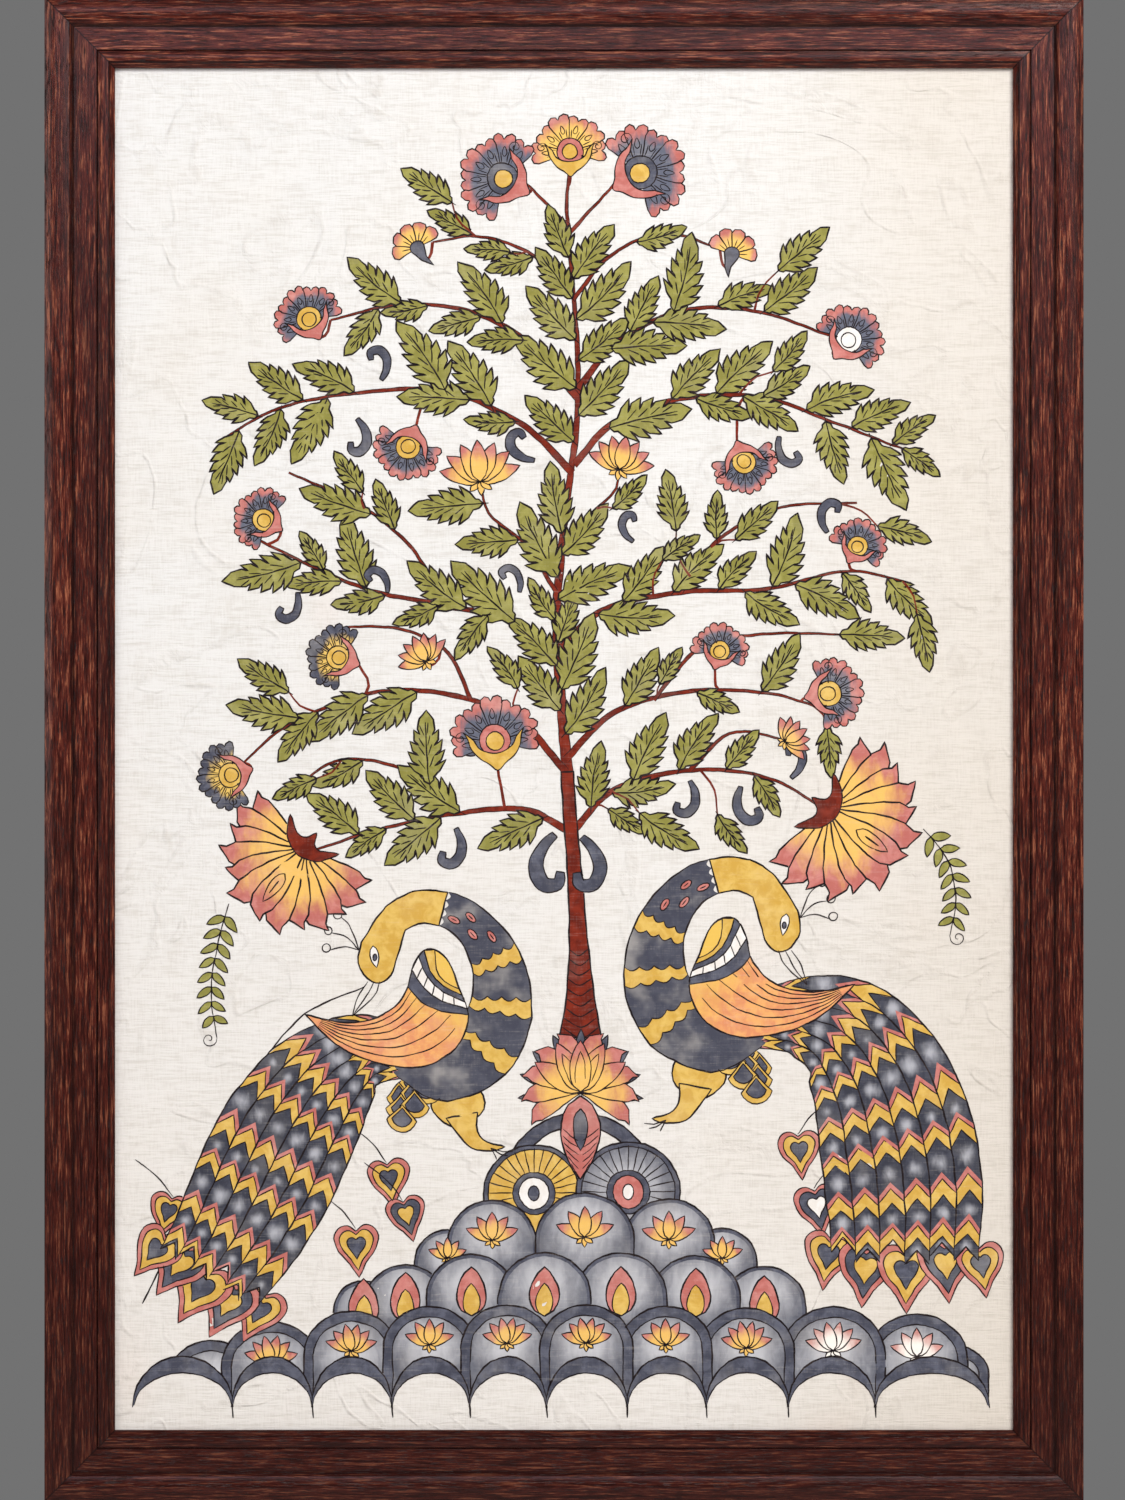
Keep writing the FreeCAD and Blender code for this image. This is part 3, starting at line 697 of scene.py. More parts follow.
def root_lotus(picture, base, size):
    """The lotus that the trunk rises from, with slate points between its petals and a bud below."""
    for lean in (-96, 96, -74, 74, -50, 50, -26, 26, 0):
        picture.fine("slate", petal_outline(base, turned(90 + lean), size * 0.98, 0.13))
    for lean in (-106, 106, -84, 84, -62, 62, -38, 38, -14, 14):
        way = turned(90 + lean)
        length = size * (0.98 - 0.0010 * abs(lean))
        outline = great_petal(base, way, length, 0.165, 0.0020 * lean)
        picture.fine("bloom", outline, base, way * length)
        picture.take(outline)
    for lean in (-52, 52, -24, 24, 0):
        way = turned(90 + lean)
        length = size * (0.84 if lean else 0.80)
        picture.fine("bloom", petal_outline(base, way, length, 0.21, 0.0016 * lean), base, way * length)
        if abs(lean) < 30:
            picture.line(petal_outline(base, way, length * 0.78, 0.13, 0.0016 * lean)[2:-2], HAIR_LINE)
    tip = base - 1j * size * 1.36
    bud_top = base - 1j * size * 0.06
    picture.shape("rose", petal_outline(bud_top, -1j, abs(tip - bud_top), 0.235), bud_top, tip - bud_top)
    picture.fine("slate", petal_outline(bud_top - 1j * size * 0.20, -1j, size * 0.66, 0.17))
    for side in (1, -1):
        for i in range(6):
            t = 0.40 + 0.085 * i
            start = bud_top + complex(side * size * 0.03, -size * 1.28 * min(t + 0.15, 0.97))
            half = 0.235 * 1.28 * size * math.sin(math.pi * t**0.78) ** 0.75
            end = bud_top + complex(side * half * 0.92, -size * 1.28 * t)
            picture.line([start, (start + end) / 2 - 0.6j, end], HAIR_LINE)


# Mound

def scale_row(picture, tiles, buds):
    """A row of overlapping scales, the sides first and the middle last; each has its own emblem."""
    for x, y, radius in sorted(tiles, key=lambda tile: -abs(tile[0] - MOUND_X)):
        scale_tile(picture, complex(x, y), radius, radius * 0.98, y - 34)
    for x, y, radius in tiles:
        if radius < 20:
            continue
        if buds:
            base = complex(x, y - 12)
            picture.shape("rose", petal_outline(base, 1j, 33, 0.30, sharp=0.9), base, 33j)
            picture.fine("ochre", petal_outline(base, 1j, 22, 0.26, sharp=0.9), base, 22j)
        else:
            picture.line([complex(x, y - 3), complex(x, y + 4)])
            lotus(picture, complex(x, y + 3), 90, radius * 0.62)


def banded_row(picture, tiles):
    """The bottom row: broad dark arches over pale faces with a lotus in each."""
    foot = 20
    for x, y, radius in sorted(tiles, key=lambda tile: -abs(tile[0] - MOUND_X)):
        centre = complex(x, y)
        rise = radius * 0.92
        picture.shape("slate", tile_outline(centre, radius, rise, foot))
        face = tile_outline(centre, radius - 6.5, rise - 7.0, foot)
        picture.fine("wash", face, centre + 3j, radius * 0.98)
    for i, (x, y, radius) in enumerate(tiles):
        if i in (0, len(tiles) - 1):
            continue
        dye = "pale_bloom" if i >= len(tiles) - 3 else "bloom"
        picture.line([complex(x, y - 3), complex(x, y + 4)])
        lotus(picture, complex(x, y + 3), 90, radius * 0.56, 6 if i % 3 else 5, dye)


def hanging_band(picture, cusps, top, tip):
    """The scalloped slate band along the foot, its points hanging down."""
    for left, right in zip(cusps[:-1], cusps[1:]):
        centre = complex((left + right) / 2, tip)
        radius = (right - left) / 2
        outer = arc(centre, radius * 1.02, top - tip, 0, 180, 15)
        inner = arc(centre, radius * 0.985, top - tip - 11.0, 176, 4, 15)
        picture.fill("slate", outer + inner)
        picture.fill("plain", inner)
        picture.line(outer)
        picture.line(inner, FINE_LINE)
    for cusp in cusps[1:-1]:
        picture.line([complex(cusp, tip + 2), complex(cusp + 0.4, tip - 7)])


def wheel(picture, centre, radius, dye, hub_dye, hub):
    """A fan-lined disc on the mound's top."""
    picture.shape("slate", arc(centre, radius, radius * 0.96, 0, 348, 30))
    picture.fine(dye, arc(centre, radius * 0.90, radius * 0.87, 0, 348, 30), centre, radius)
    for i in range(17):
        way = turned(-12 + 204 * i / 16)
        picture.line([centre + way * radius * 0.42, centre + way * radius * 0.90], FINE_LINE)
    picture.fine("slate", arc(centre, radius * 0.42, radius * 0.42, 0, 340, 18))
    picture.fine(hub_dye, arc(centre, radius * 0.30, radius * 0.32, 0, 340, 16))
    picture.fine(hub, arc(centre, radius * 0.11, radius * 0.15, 0, 330, 12))


def mound(picture):
    picture.layer = 0
    ring = complex(10, 160)
    picture.shape("slate", arc(ring, 52, 52, 8, 172, 22) + arc(ring, 43, 43, 172, 8, 22))
    wheel(picture, complex(-20, 158), 34, "ochre", "white", "slate")
    wheel(picture, complex(43, 159), 35, "wash", "rose", "white")
    scale_row(picture, ((-78, 112, 22), (-48, 124, 30), (14, 126, 33), (70, 124, 31), (106, 112, 23)), False)
    row = ((-134, 80, 20), (-106, 84, 27), (-62, 88, 30), (-13, 88, 31))
    row = row + ((38, 88, 31), (88, 87, 30), (134, 82, 28))
    scale_row(picture, row, True)
    centres = (-236, -196, -142, -90, -38, 15, 68, 122, 180, 236, 262)
    heights = (34, 42, 50, 54, 55, 55, 54, 52, 50, 46, 36)
    sizes = (28, 33, 32, 31, 31, 31, 31, 32, 35, 34, 22)
    banded_row(picture, tuple(zip(centres, heights, sizes)))
    cusps = (-288, -222, -168, -115, -63, -12, 42, 95, 150, 208, 284)
    hanging_band(picture, cusps, 49, 15)
    right_side = ((288, 10), (264, 90), (158, 118), (90, 160), (60, 200))
    left_side = ((-40, 200), (-90, 150), (-130, 118), (-246, 90), (-290, 10))
    picture.take([complex(*p) for p in right_side + left_side])


# Birds

def feather_eye(picture, top, degrees, size, dyes):
    """A heart-shaped feather eye hanging from its cleft, in three nested colours."""
    heading = turned(degrees)
    half = [
        complex(0.12, 0.0),
        complex(0.01, 0.17),
        complex(0.05, 0.36),
        complex(0.24, 0.47),
        complex(0.52, 0.39),
        complex(0.80, 0.17),
        complex(1.10, 0.0),
    ]
    outline = half + [p.conjugate() for p in half[5:0:-1]]
    middle = complex(0.42, 0)
    for dye, share in zip(dyes, (1.0, 0.76, 0.42)):
        points = [top + heading * size * (middle + (p - middle) * share) for p in outline]
        rounded = smooth(points[:6], 3)[:-1] + points[5:8] + smooth(points[7:] + points[:1], 3)[1:-1]
        picture.shape(dye, rounded, width=FINE_LINE)


def scalloped_edge(start, end, bumps, depth, way):
    """A line from start to end made of bumps that bulge along way."""
    points = []
    for i in range(bumps):
        for k in range(5):
            t = (i + k / 5) / bumps
            swell = math.sin(math.pi * k / 5)
            points.append(start + (end - start) * t + way * depth * swell)
    points.append(end)
    return points


def bird(picture, place, tail_points, tail_widths, eyes, lowest):
    """A peacock in profile, its neck arched back over its wing; place carries it onto the cloth."""
    picture.layer = 3
    legs(picture, place)
    for x, y, degrees, size, kind in eyes:
        draw_eye(picture, place, x, y, degrees, size, kind)
    tail(picture, place, tail_points, tail_widths, lowest)
    neck(picture, place)
    wing(picture, place)
    head(picture, place)


def mapped(place, points):
    return [place(p) for p in points]


def tail(picture, place, control, widths, lowest):
    """Long strips side by side, each a run of chevrons, and feather eyes at their ends."""
    path = Path(control)
    strips = len(lowest)
    runs = (("plume", 19.5), ("rose", 4.0), ("ochre", 9.2), ("plume", 12.5), ("rose", 3.4), ("ochre", 7.6))
    peak = 9.0

    def edge(s, share):
        width = float(np.interp(s / path.length, np.linspace(0, 1, len(widths)), widths))
        return place(path.beside(s, width * share))

    for i, share in enumerate((-0.98, -0.50, 0.02, 0.52, 0.98)):
        strip = min(int((share + 1) / 2 * strips), strips - 1)
        top = edge(path.length + lowest[strip] - 12, share)
        below = edge(path.length + 60, share * 1.25) - top
        size = (36, 40, 42, 40, 34)[i]
        dyes = (("rose", "ochre", "slate"), ("rose", "slate", "ochre"))[i % 2]
        feather_eye(picture, top, math.degrees(cmath.phase(below)), size, dyes)
    for strip in range(strips):
        low = -1 + 2 * strip / strips
        high = low + 2 / strips
        middle = (low + high) / 2
        s = -12.0 - 1.6 * strip
        end = path.length + lowest[strip]
        run = 0
        while s < end - 0.5:
            dye, length = runs[run % len(runs)]
            after = min(s + length, end)
            count = max(int((after - s) / 5), 1)
            steps = [s + (after - s) * i / count for i in range(count + 1)]
            outline = [edge(v, low) for v in steps]
            outline.append(edge(after - peak, middle))
            outline += [edge(v, high) for v in reversed(steps)]
            outline.append(edge(s - peak, middle))
            centre = edge((s + after) / 2 - peak / 2, middle)
            along = abs(edge(s, middle) - edge(after, middle))
            reach = max(along, abs(edge(s, low) - edge(s, high))) * 0.62
            picture.fill(dye, outline, centre, reach)
            if dye != "rose":
                picture.line([edge(s, low), edge(s - peak, middle), edge(s, high)], FINE_LINE)
            s = after
            run += 1
        picture.line([edge(end, low), edge(end - peak, middle), edge(end, high)], INK_LINE)
    for strip in range(strips + 1):
        share = -1 + 2 * strip / strips
        end = path.length + (lowest[min(strip, strips - 1)] + lowest[max(strip - 1, 0)]) / 2
        picture.line([edge(end * i / 40, share) for i in range(41)], INK_LINE)
    for i in range(12):
        a, b = path.length * i / 12, path.length * (i + 1) / 12
        picture.take([edge(a, -1), edge(b, -1), edge(b, 1), edge(a, 1)])


def legs(picture, place):
    """The ochre leg with its toes, and dark tufts with pale edges behind it."""
    thigh = smooth([(16, -14), (40, -18), (42, -32), (26, -42), (10, -30)], 4, closed=True)
    picture.shape("ochre", mapped(place, thigh))
    shin = smooth([(14, -32), (14, -44), (8, -51), (-3, -54), (6, -57), (18, -55), (25, -48), (34, -36)], 3)
    picture.shape("ochre", mapped(place, shin))
    for x, y in ((-8, -57), (-5, -60), (2, -62)):
        toe = [complex(6, -55), complex(x / 2 + 2, y / 2 - 29), complex(x, y)]
        picture.line(mapped(place, toe), FINE_LINE)
    for row, reach in ((2, 13), (1, 15), (0, 16)):
        for i in range(4 - row):
            centre = complex(38 + 9 * row + 8 * i, -8 - 9 * i - 2 * row)
            tuft = arc(centre, reach * 0.62, reach * 0.62, 200, 350, 9) + [centre + 8j]
            picture.shape("ochre", mapped(place, tuft), width=FINE_LINE)
            core = arc(centre, reach * 0.40, reach * 0.40, 200, 350, 7) + [centre + 6j]
            picture.shape("slate", mapped(place, core), width=FINE_LINE)


NECK = Path([(64, -2), (36, -8), (10, 8), (-1, 36), (3, 66), (22, 91), (48, 99), (68, 90), (76, 72)])
NECK_HALF = (7, 17, 21, 20.5, 17, 13, 11, 10, 8.5)


def neck_half(s):
    return float(np.interp(s / NECK.length, np.linspace(0, 1, len(NECK_HALF)), NECK_HALF))


def neck_edge(s, side):
    return NECK.beside(s, side * neck_half(s))


def neck(picture, place):
    """Breast and neck: slate bands parted by scalloped ochre ones, ovals high on the neck."""
    bands = (
        (0.0, 0.26, "brushed"),
        (0.26, 0.30, "ochre"),
        (0.30, 0.39, "brushed"),
        (0.39, 0.43, "ochre"),
        (0.43, 0.52, "brushed"),
        (0.52, 0.56, "ochre"),
        (0.56, 0.755, "brushed"),
    )
    whole = [neck_edge(NECK.length * i / 24, 1) for i in range(25)]
    whole += [neck_edge(NECK.length * i / 24, -1) for i in reversed(range(25))]
    picture.take(mapped(place, whole))
    for start, end, dye in bands:
        s0, s1 = start * NECK.length, end * NECK.length
        steps = [s0 + (s1 - s0) * i / 8 for i in range(9)]
        first = scalloped_edge(neck_edge(s0, -1), neck_edge(s0, 1), 4, 2.6, -NECK.heading(s0))
        last = scalloped_edge(neck_edge(s1, 1), neck_edge(s1, -1), 4, 2.6, -NECK.heading(s1))
        back = [neck_edge(v, -1) for v in steps[-2:0:-1]]
        outline = [neck_edge(v, 1) for v in steps] + last[1:] + back + first[:-1]
        centre = place(NECK.point((s0 + s1) / 2))
        picture.fill(dye, mapped(place, outline), centre, neck_half((s0 + s1) / 2) * 1.25)
        if start:
            picture.line(mapped(place, first), FINE_LINE)
    for side in (1, -1):
        side_line = [neck_edge(NECK.length * 0.86 * i / 40, side) for i in range(41)]
        picture.line(mapped(place, side_line), INK_LINE)
    for i, side in enumerate((0.35, -0.3, 0.25, -0.35)):
        s = NECK.length * (0.600 + 0.038 * i)
        centre = NECK.beside(s, side * neck_half(s))
        oval = [centre + NECK.heading(s) * p for p in arc(0, 4.2, 2.1, 0, 330, 10)]
        picture.shape("rose", mapped(place, oval), width=FINE_LINE)
        picture.line(mapped(place, [centre - NECK.heading(s) * 2, centre + NECK.heading(s) * 2]), FINE_LINE)


def head(picture, place):
    """An ochre head, its eye a lens, a fine long bill and a crest of three stalks."""
    start = NECK.length * 0.755
    end = NECK.length * 0.93
    steps = [start + (end - start) * i / 6 for i in range(7)]
    crown = NECK.point(NECK.length)
    face = [(88, 76), (90, 63), (84, 53), (76, 50), (69, 55), (66, 64)]
    back = [neck_edge(v, -1) for v in reversed(steps[:-1])]
    outline = [neck_edge(v, 1) for v in steps] + smooth(face, 3) + back
    picture.shape("ochre", mapped(place, outline))
    picture.take(mapped(place, outline))
    eye = petal_outline(crown + complex(5, 2), turned(-100), 14, 0.20, count=7)
    picture.shape("white", mapped(place, eye), width=FINE_LINE)
    pupil = arc(crown + complex(3.6, -5.5), 1.3, 2.2, 0, 330, 10)
    picture.shape("slate", mapped(place, pupil), width=FINE_LINE)
    tip = complex(94, 29)
    for root, mid in ((76, 79), (80, 84), (84, 89)):
        picture.line(mapped(place, smooth([(root, 51), (mid + 1, 42), tip], 5)), FINE_LINE)
    for x, y, bend in ((101, 92, 4), (107, 82, 3), (108, 71, 2)):
        stalk = smooth([(89, 72 - bend / 2), ((89 + x) / 2, (72 + y) / 2 + bend), (x, y)], 6)
        picture.line(mapped(place, stalk), FINE_LINE)
        ring = arc(complex(x + 2.2, y + 1.4), 2.6, 2.6, 0, 330, 12)
        picture.line(mapped(place, ring), FINE_LINE, closed=True)


def wing(picture, place):
    """An orange wing with long curved quill lines and a checked shoulder."""
    upper = smooth([(27, 50), (34, 66), (46, 72), (55, 62), (60, 44), (74, 30), (98, 25), (124, 30)], 5)
    lower = smooth([(27, 50), (20, 30), (28, 9), (50, -3), (80, 0), (104, 11), (124, 30)], 5)

    def across(t, share):
        a = upper[min(int(t * (len(upper) - 1)), len(upper) - 1)]
        b = lower[min(int(t * (len(lower) - 1)), len(lower) - 1)]
        return b + (a - b) * share

    outline = upper + lower[-2:0:-1]
    origin = place(complex(40, 60))
    picture.shape("wing", mapped(place, outline), origin, place(complex(90, 10)) - origin)
    picture.take(mapped(place, outline))
    quills = 7
    for i in range(1, quills):
        share = i / quills
        points = [across(t, share) for t in (0.30, 0.42, 0.54, 0.66, 0.78, 0.88, 0.96)]
        picture.line(mapped(place, smooth(points, 3)), FINE_LINE)
    bands = ((0.0, 0.10, "ochre"), (0.10, 0.16, "slate"), (0.16, 0.24, "white"), (0.24, 0.30, "slate"))
    for start, end, dye in bands:
        shape = [along_shoulder(upper, lower, start, k / 6) for k in range(7)]
        shape += [along_shoulder(upper, lower, end, k / 6) for k in reversed(range(7))]
        picture.shape(dye, mapped(place, shape), width=FINE_LINE)
        if dye == "white":
            for k in range(1, 6):
                bar = [along_shoulder(upper, lower, v, k / 6) for v in (start, (start + end) / 2, end)]
                picture.line(mapped(place, bar), FINE_LINE)


def along_shoulder(upper, lower, depth, share):
    """A point on a curved band across the shoulder; depth 0 is its top, share runs across it."""
    a = upper[min(int(depth * 2.1 * (len(upper) - 1) * 0.5 + 8), len(upper) - 1)]
    b = lower[min(int(depth * 1.1 * (len(lower) - 1) * 0.5 + 1), len(lower) - 1)]
    bow = complex(5, -4) * math.sin(math.pi * share)
    return b + (a - b) * share + bow


def right_bird(picture):
    origin, size = complex(62, 266), 1.07
    lowest = (2, 8, 3, 9, 4, 7)
    eyes = ((88, -62, -84, 30, 0), (98, -96, -80, 32, 2))
    control = [(58, 4), (88, 9), (118, -1), (140, -32), (151, -72), (155, -108), (155, -136)]
    bird(picture, lambda p: origin + size * p, control, (14, 26, 38, 45, 49, 49, 46), eyes, lowest)


def left_bird(picture):
    """The left bird, and the loose line that swings out beyond its tail."""
    loose = ((-134, 296), (-176, 276), (-206, 236), (-222, 190), (-236, 150), (-264, 118), (-282, 84))
    picture.line(smooth(loose, 8))
    origin, size = complex(-43, 246), 1.05
    lowest = (3, 8, 2, 9, 4, 8)
    eyes = (
        (72, -62, -98, 30, 0),
        (62, -86, -104, 28, 1),
        (92, -104, -94, 32, 0),
        (208, -84, -74, 28, 0),
    )
    control = [(58, 4), (86, 6), (112, -12), (134, -44), (152, -80), (168, -110), (182, -132)]
    widths = (14, 27, 38, 43, 44, 41, 36)
    bird(picture, lambda p: origin - size * p.conjugate(), control, widths, eyes, lowest)


# Tree

STEM = ((3, 432), (-2, 487), (-5, 545), (1, 612), (8, 668), (9, 720), (5, 775), (2, 815), (4, 848))
LIMBS = (
    ((4, 400), (-28, 415), (-78, 411), (-128, 400), (-172, 386)),
    ((6, 400), (34, 428), (84, 441), (136, 436), (176, 414)),
    ((1, 440), (-30, 474), (-78, 492), (-132, 492), (-186, 470), (-214, 446)),
    ((1, 448), (34, 480), (86, 494), (140, 492), (172, 482)),
    ((-4, 515), (-34, 540), (-84, 552), (-132, 562), (-182, 584), (-214, 600)),
    ((-4, 520), (26, 548), (78, 560), (134, 562), (190, 574), (232, 566)),
    ((6, 640), (-28, 672), (-78, 694), (-132, 694), (-188, 684), (-226, 664)),
    ((7, 645), (34, 674), (82, 690), (134, 690), (184, 672), (226, 656)),
    ((9, 690), (-22, 726), (-64, 748), (-112, 752), (-156, 742)),
    ((9, 695), (34, 726), (78, 748), (128, 748), (182, 730)),
    ((6, 760), (-22, 786), (-56, 798), (-88, 794)),
    ((6, 755), (30, 784), (66, 800), (104, 790)),
    ((-5, 560), (-26, 592), (-50, 612), (-56, 632)),
    ((-1, 590), (18, 612), (34, 628), (36, 640)),
    ((-78, 552), (-104, 592), (-140, 620), (-184, 640)),
    ((78, 560), (102, 594), (142, 616), (196, 620)),
    ((-62, 488), (-78, 520), (-112, 536), (-158, 536)),
    ((60, 488), (92, 524), (134, 532), (184, 532)),
    ((84, 441), (112, 466), (146, 462)),
    ((-70, 412), (-104, 440), (-150, 448), (-186, 424)),
    ((3, 805), (-14, 822), (-28, 836)),
    ((3, 800), (20, 818), (38, 838)),
)


def fill_crown(picture, paths, dice):
    """Leaves along every limb, by turns on either side, then more wherever there's room."""
    for path, start in paths:
        s = start
        side = 1
        while s < path.length + 2:
            heading = path.heading(min(s, path.length))
            way = heading * turned(side * dice.uniform(32, 58))
            size = dice.uniform(44, 58) * (1 - 0.12 * s / path.length)
            try_leaf(picture, path.beside(s, side * 1.0), way, size, dice)
            side = -side
            s += dice.uniform(13, 20)
        try_leaf(picture, path.point(path.length), path.heading(path.length), 42, dice, 0.10)
    for _ in range(260):
        path, start = dice.choice(paths)
        s = dice.uniform(start, path.length)
        side = dice.choice((1, -1))
        root = path.point(s)
        way = path.heading(s) * turned(side * dice.uniform(25, 70))
        stalk = dice.uniform(8, 34)
        end = root + way * stalk
        heading = way * turned(-side * dice.uniform(-10, 26))
        try_leaf(picture, end, heading, dice.uniform(38, 52), dice, 0.02, root)


BLOOMS = (
    (4, 854, 92, 26, 6, "warm_fan", "rose"),
    (-40, 836, 150, 31, 7, "fan", "slate"),
    (50, 840, 32, 33, 7, "fan", "slate"),
    (-98, 790, 120, 17, 5, "warm_fan", "ochre"),
    (112, 786, 70, 17, 5, "warm_fan", "ochre"),
    (-170, 742, 118, 24, 7, "fan", "ochre"),
    (190, 728, 52, 25, 7, "fan", "white"),
    (-104, 658, -112, 24, 7, "fan", "ochre"),
    (120, 648, -70, 23, 7, "fan", "ochre"),
    (-200, 608, 150, 22, 7, "fan", "ochre"),
    (196, 590, 60, 20, 6, "fan", "ochre"),
    (-150, 516, 160, 23, 7, "cool_fan", "ochre"),
    (104, 520, 74, 20, 6, "fan", "ochre"),
    (176, 492, 10, 25, 7, "fan", "ochre"),
    (-46, 460, 96, 31, 7, "fan", "rose"),
    (-222, 438, 196, 24, 7, "cool_fan", "ochre"),
)

SMALL_LOTUSES = (
    (-56, 634, 94, 28),
    (37, 642, 78, 23),
    (-92, 514, 120, 19),
    (148, 460, 30, 17),
)

HOOKS = (
    (-138, 676, -70, 22, 1),
    (-122, 702, 80, 20, -1),
    (144, 664, -80, 20, -1),
    (176, 600, 100, 20, 1),
    (-178, 560, -100, 20, 1),
    (-60, 478, -78, 24, 1),
    (-72, 402, -84, 24, 1),
    (118, 430, -88, 24, -1),
    (84, 434, -82, 22, 1),
    (152, 436, 62, 20, -1),
    (-20, 648, 150, 22, 1),
    (-30, 560, 100, 18, -1),
    (-6, 398, -118, 34, -1),
    (12, 396, -62, 32, 1),
    (-118, 560, 110, 18, -1),
    (46, 594, 120, 18, 1),
)


def tree(picture):
    dice = random.Random(7)
    picture.layer = 1
    paths = [(branch(picture, STEM, 8.0, 1.8), 14)]
    for points in LIMBS:
        long_limb = len(points) >= 5
        path = branch(picture, points, 5.0 if long_limb else 2.8, 1.2)
        paths.append((path, 20 if long_limb else 9))
    trunk(picture)
    for x, y, degrees, radius, *_ in BLOOMS:
        join(picture, paths, complex(x, y) - turned(degrees) * radius * 0.58, turned(degrees))
    for x, y, degrees, size in SMALL_LOTUSES:
        join(picture, paths, complex(x, y) - turned(degrees) * size * 0.2, turned(degrees))
    picture.layer = 4
    for x, y, degrees, size, side in HOOKS:
        hook(picture, complex(x, y), degrees, size, side)
    great_blossom(picture, complex(-174, 388), 232, 60)
    great_blossom(picture, complex(178, 414), -36, 64)
    for x, y, degrees, radius, petals, dye, heart in BLOOMS:
        if petals == 5:
            small_fan(picture, complex(x, y), degrees, radius)
        else:
            fan_blossom(picture, complex(x, y), degrees, radius, petals, dye, heart)
    for x, y, degrees, size in SMALL_LOTUSES:
        lotus(picture, complex(x, y), degrees, size, 7)
        picture.take(arc(complex(x, y + size * 0.4), size * 0.9, size * 0.7, 0, 345, 16))
    sprig(picture, ((-224, 352), (-232, 322), (-236, 290), (-232, 262)), 8, -1)
    sprig(picture, ((240, 402), (256, 382), (262, 356), (258, 330)), 7, 1)
    root_lotus(picture, complex(11, 226), 43)
    picture.layer = 2
    fill_crown(picture, paths, dice)


def wander(points):
    """Moves points as an unsteady hand would: the same shift wherever lines meet."""
    moved = []
    for p in points:
        at = Vector((p.real / 9, p.imag / 9, 0.0))
        shift = noise.noise_vector(at) * 0.55 + noise.noise_vector(at * 4 + Vector((7, 3, 1))) * 0.16
        moved.append(p + complex(shift.x, shift.y))
    return moved


def on_cloth(xs, ys, lift):
    """Points of the drawing, in mm, as places on the cloth's face."""
    x = (SIGHT_LOW.x + SIGHT_HIGH.x) / 2 + np.asarray(xs) * MM
    z = SIGHT_LOW.z + np.asarray(ys) * MM
    return np.stack([x, cloth_y(x, z) - lift, z], axis=-1)


def dye_pieces(picture, dyes):
    """One mesh for each dye. Where shapes overlap, only the last one drawn is kept."""
    fills = sorted(picture.fills, key=lambda f: f[0])
    outlines = [wander(fill[2]) for fill in fills]
    points, faces = [], []
    for outline in outlines:
        area = sum((a.conjugate() * b).imag for a, b in zip(outline, outline[1:] + outline[:1]))
        ordered = outline[::-1] if area < 0 else outline
        faces.append(list(range(len(points), len(points) + len(ordered))))
        points.extend(Vector((p.real, p.imag)) for p in ordered)
    pitch = 8.0
    for row in range(int(SIGHT_HEIGHT / pitch) + 1):
        for column in range(int(SIGHT_WIDTH / pitch) + 1):
            offset = 0.5 * (row % 2)
            points.append(Vector((-SIGHT_WIDTH / 2 + (column + offset) * pitch, row * pitch)))
    found, _, triangles, _, _, owners = delaunay_2d_cdt(points, [], faces, 0, 1e-4)
    place = on_cloth([v.x for v in found], [v.y for v in found], DYE_LIFT)
    by_dye = {}
    for triangle, top in zip(triangles, topmost(found, triangles, owners, outlines)):
        if top >= 0:
            by_dye.setdefault(fills[top][1], []).append((triangle, top))
    pieces = []
    for dye, kept in sorted(by_dye.items()):
        if dye == "plain":
            continue
        used = sorted({corner for triangle, _ in kept for corner in triangle})
        number = {corner: i for i, corner in enumerate(used)}
        mesh_faces = [[number[corner] for corner in triangle] for triangle, _ in kept]
        piece = mesh_piece(f"dye_{dye}", place[used], mesh_faces, dyes[dye])
        motif = piece.data.uv_layers.new(name="Motif")
        values = []
        for triangle, top in kept:
            _, _, _, origin, reach = fills[top]
            for corner in triangle:
                local = (complex(found[corner].x, found[corner].y) - origin) / reach
                values.extend((local.imag, local.real))
        motif.data.foreach_set("uv", values)
        flat_map(piece)
        pieces.append(piece)
    return pieces


def flat_map(piece):
    """A flat map of the sight opening."""
    layer = piece.data.uv_layers.new(name="OFBake")
    values = []
    for loop in piece.data.loops:
        co = piece.data.vertices[loop.vertex_index].co
        values.append((co.x - SIGHT_LOW.x) / (SIGHT_HIGH.z - SIGHT_LOW.z))
        values.append((co.z - SIGHT_LOW.z) / (SIGHT_HIGH.z - SIGHT_LOW.z))
    layer.data.foreach_set("uv", values)


def ink_piece(picture, material):
    """Every ink line that shows, as a flat ribbon that swells and thins a little on its way."""
    dice = random.Random(3)
    cell = 0.3
    tops = top_ranks(sorted(picture.fills, key=lambda f: f[0]), cell)
    xs, ys, faces = [], [], []
    for rank, points, width, ends in picture.lines:
        points = [p for i, p in enumerate(points) if i == 0 or abs(p - points[i - 1]) > 0.02]
        for run in visible_runs(divided(points, 2.0), rank, tops, cell):
            run = wander(run)
            count = len(run) - 1
            first = len(xs)
            phase = dice.uniform(0, 6)
            for i, p in enumerate(run):
                before, after = run[max(i - 1, 0)], run[min(i + 1, count)]
                if after == before:
                    after = before + 1e-3
                across = (after - before) / abs(after - before) * 1j
                taper = min(1.0, ends + 3.2 * min(i, count - i) / max(count, 1))
                half = width / 2 * taper * (1 + 0.20 * math.sin(phase + 0.5 * i))
                for side in (half, -half):
                    xs.append((p + across * side).real)
                    ys.append((p + across * side).imag)
            for i in range(count):
                a = first + 2 * i
                faces.append((a, a + 1, a + 3, a + 2))
    piece = mesh_piece("ink_lines", on_cloth(xs, ys, INK_LIFT), faces, material)
    flat_map(piece)
    return piece


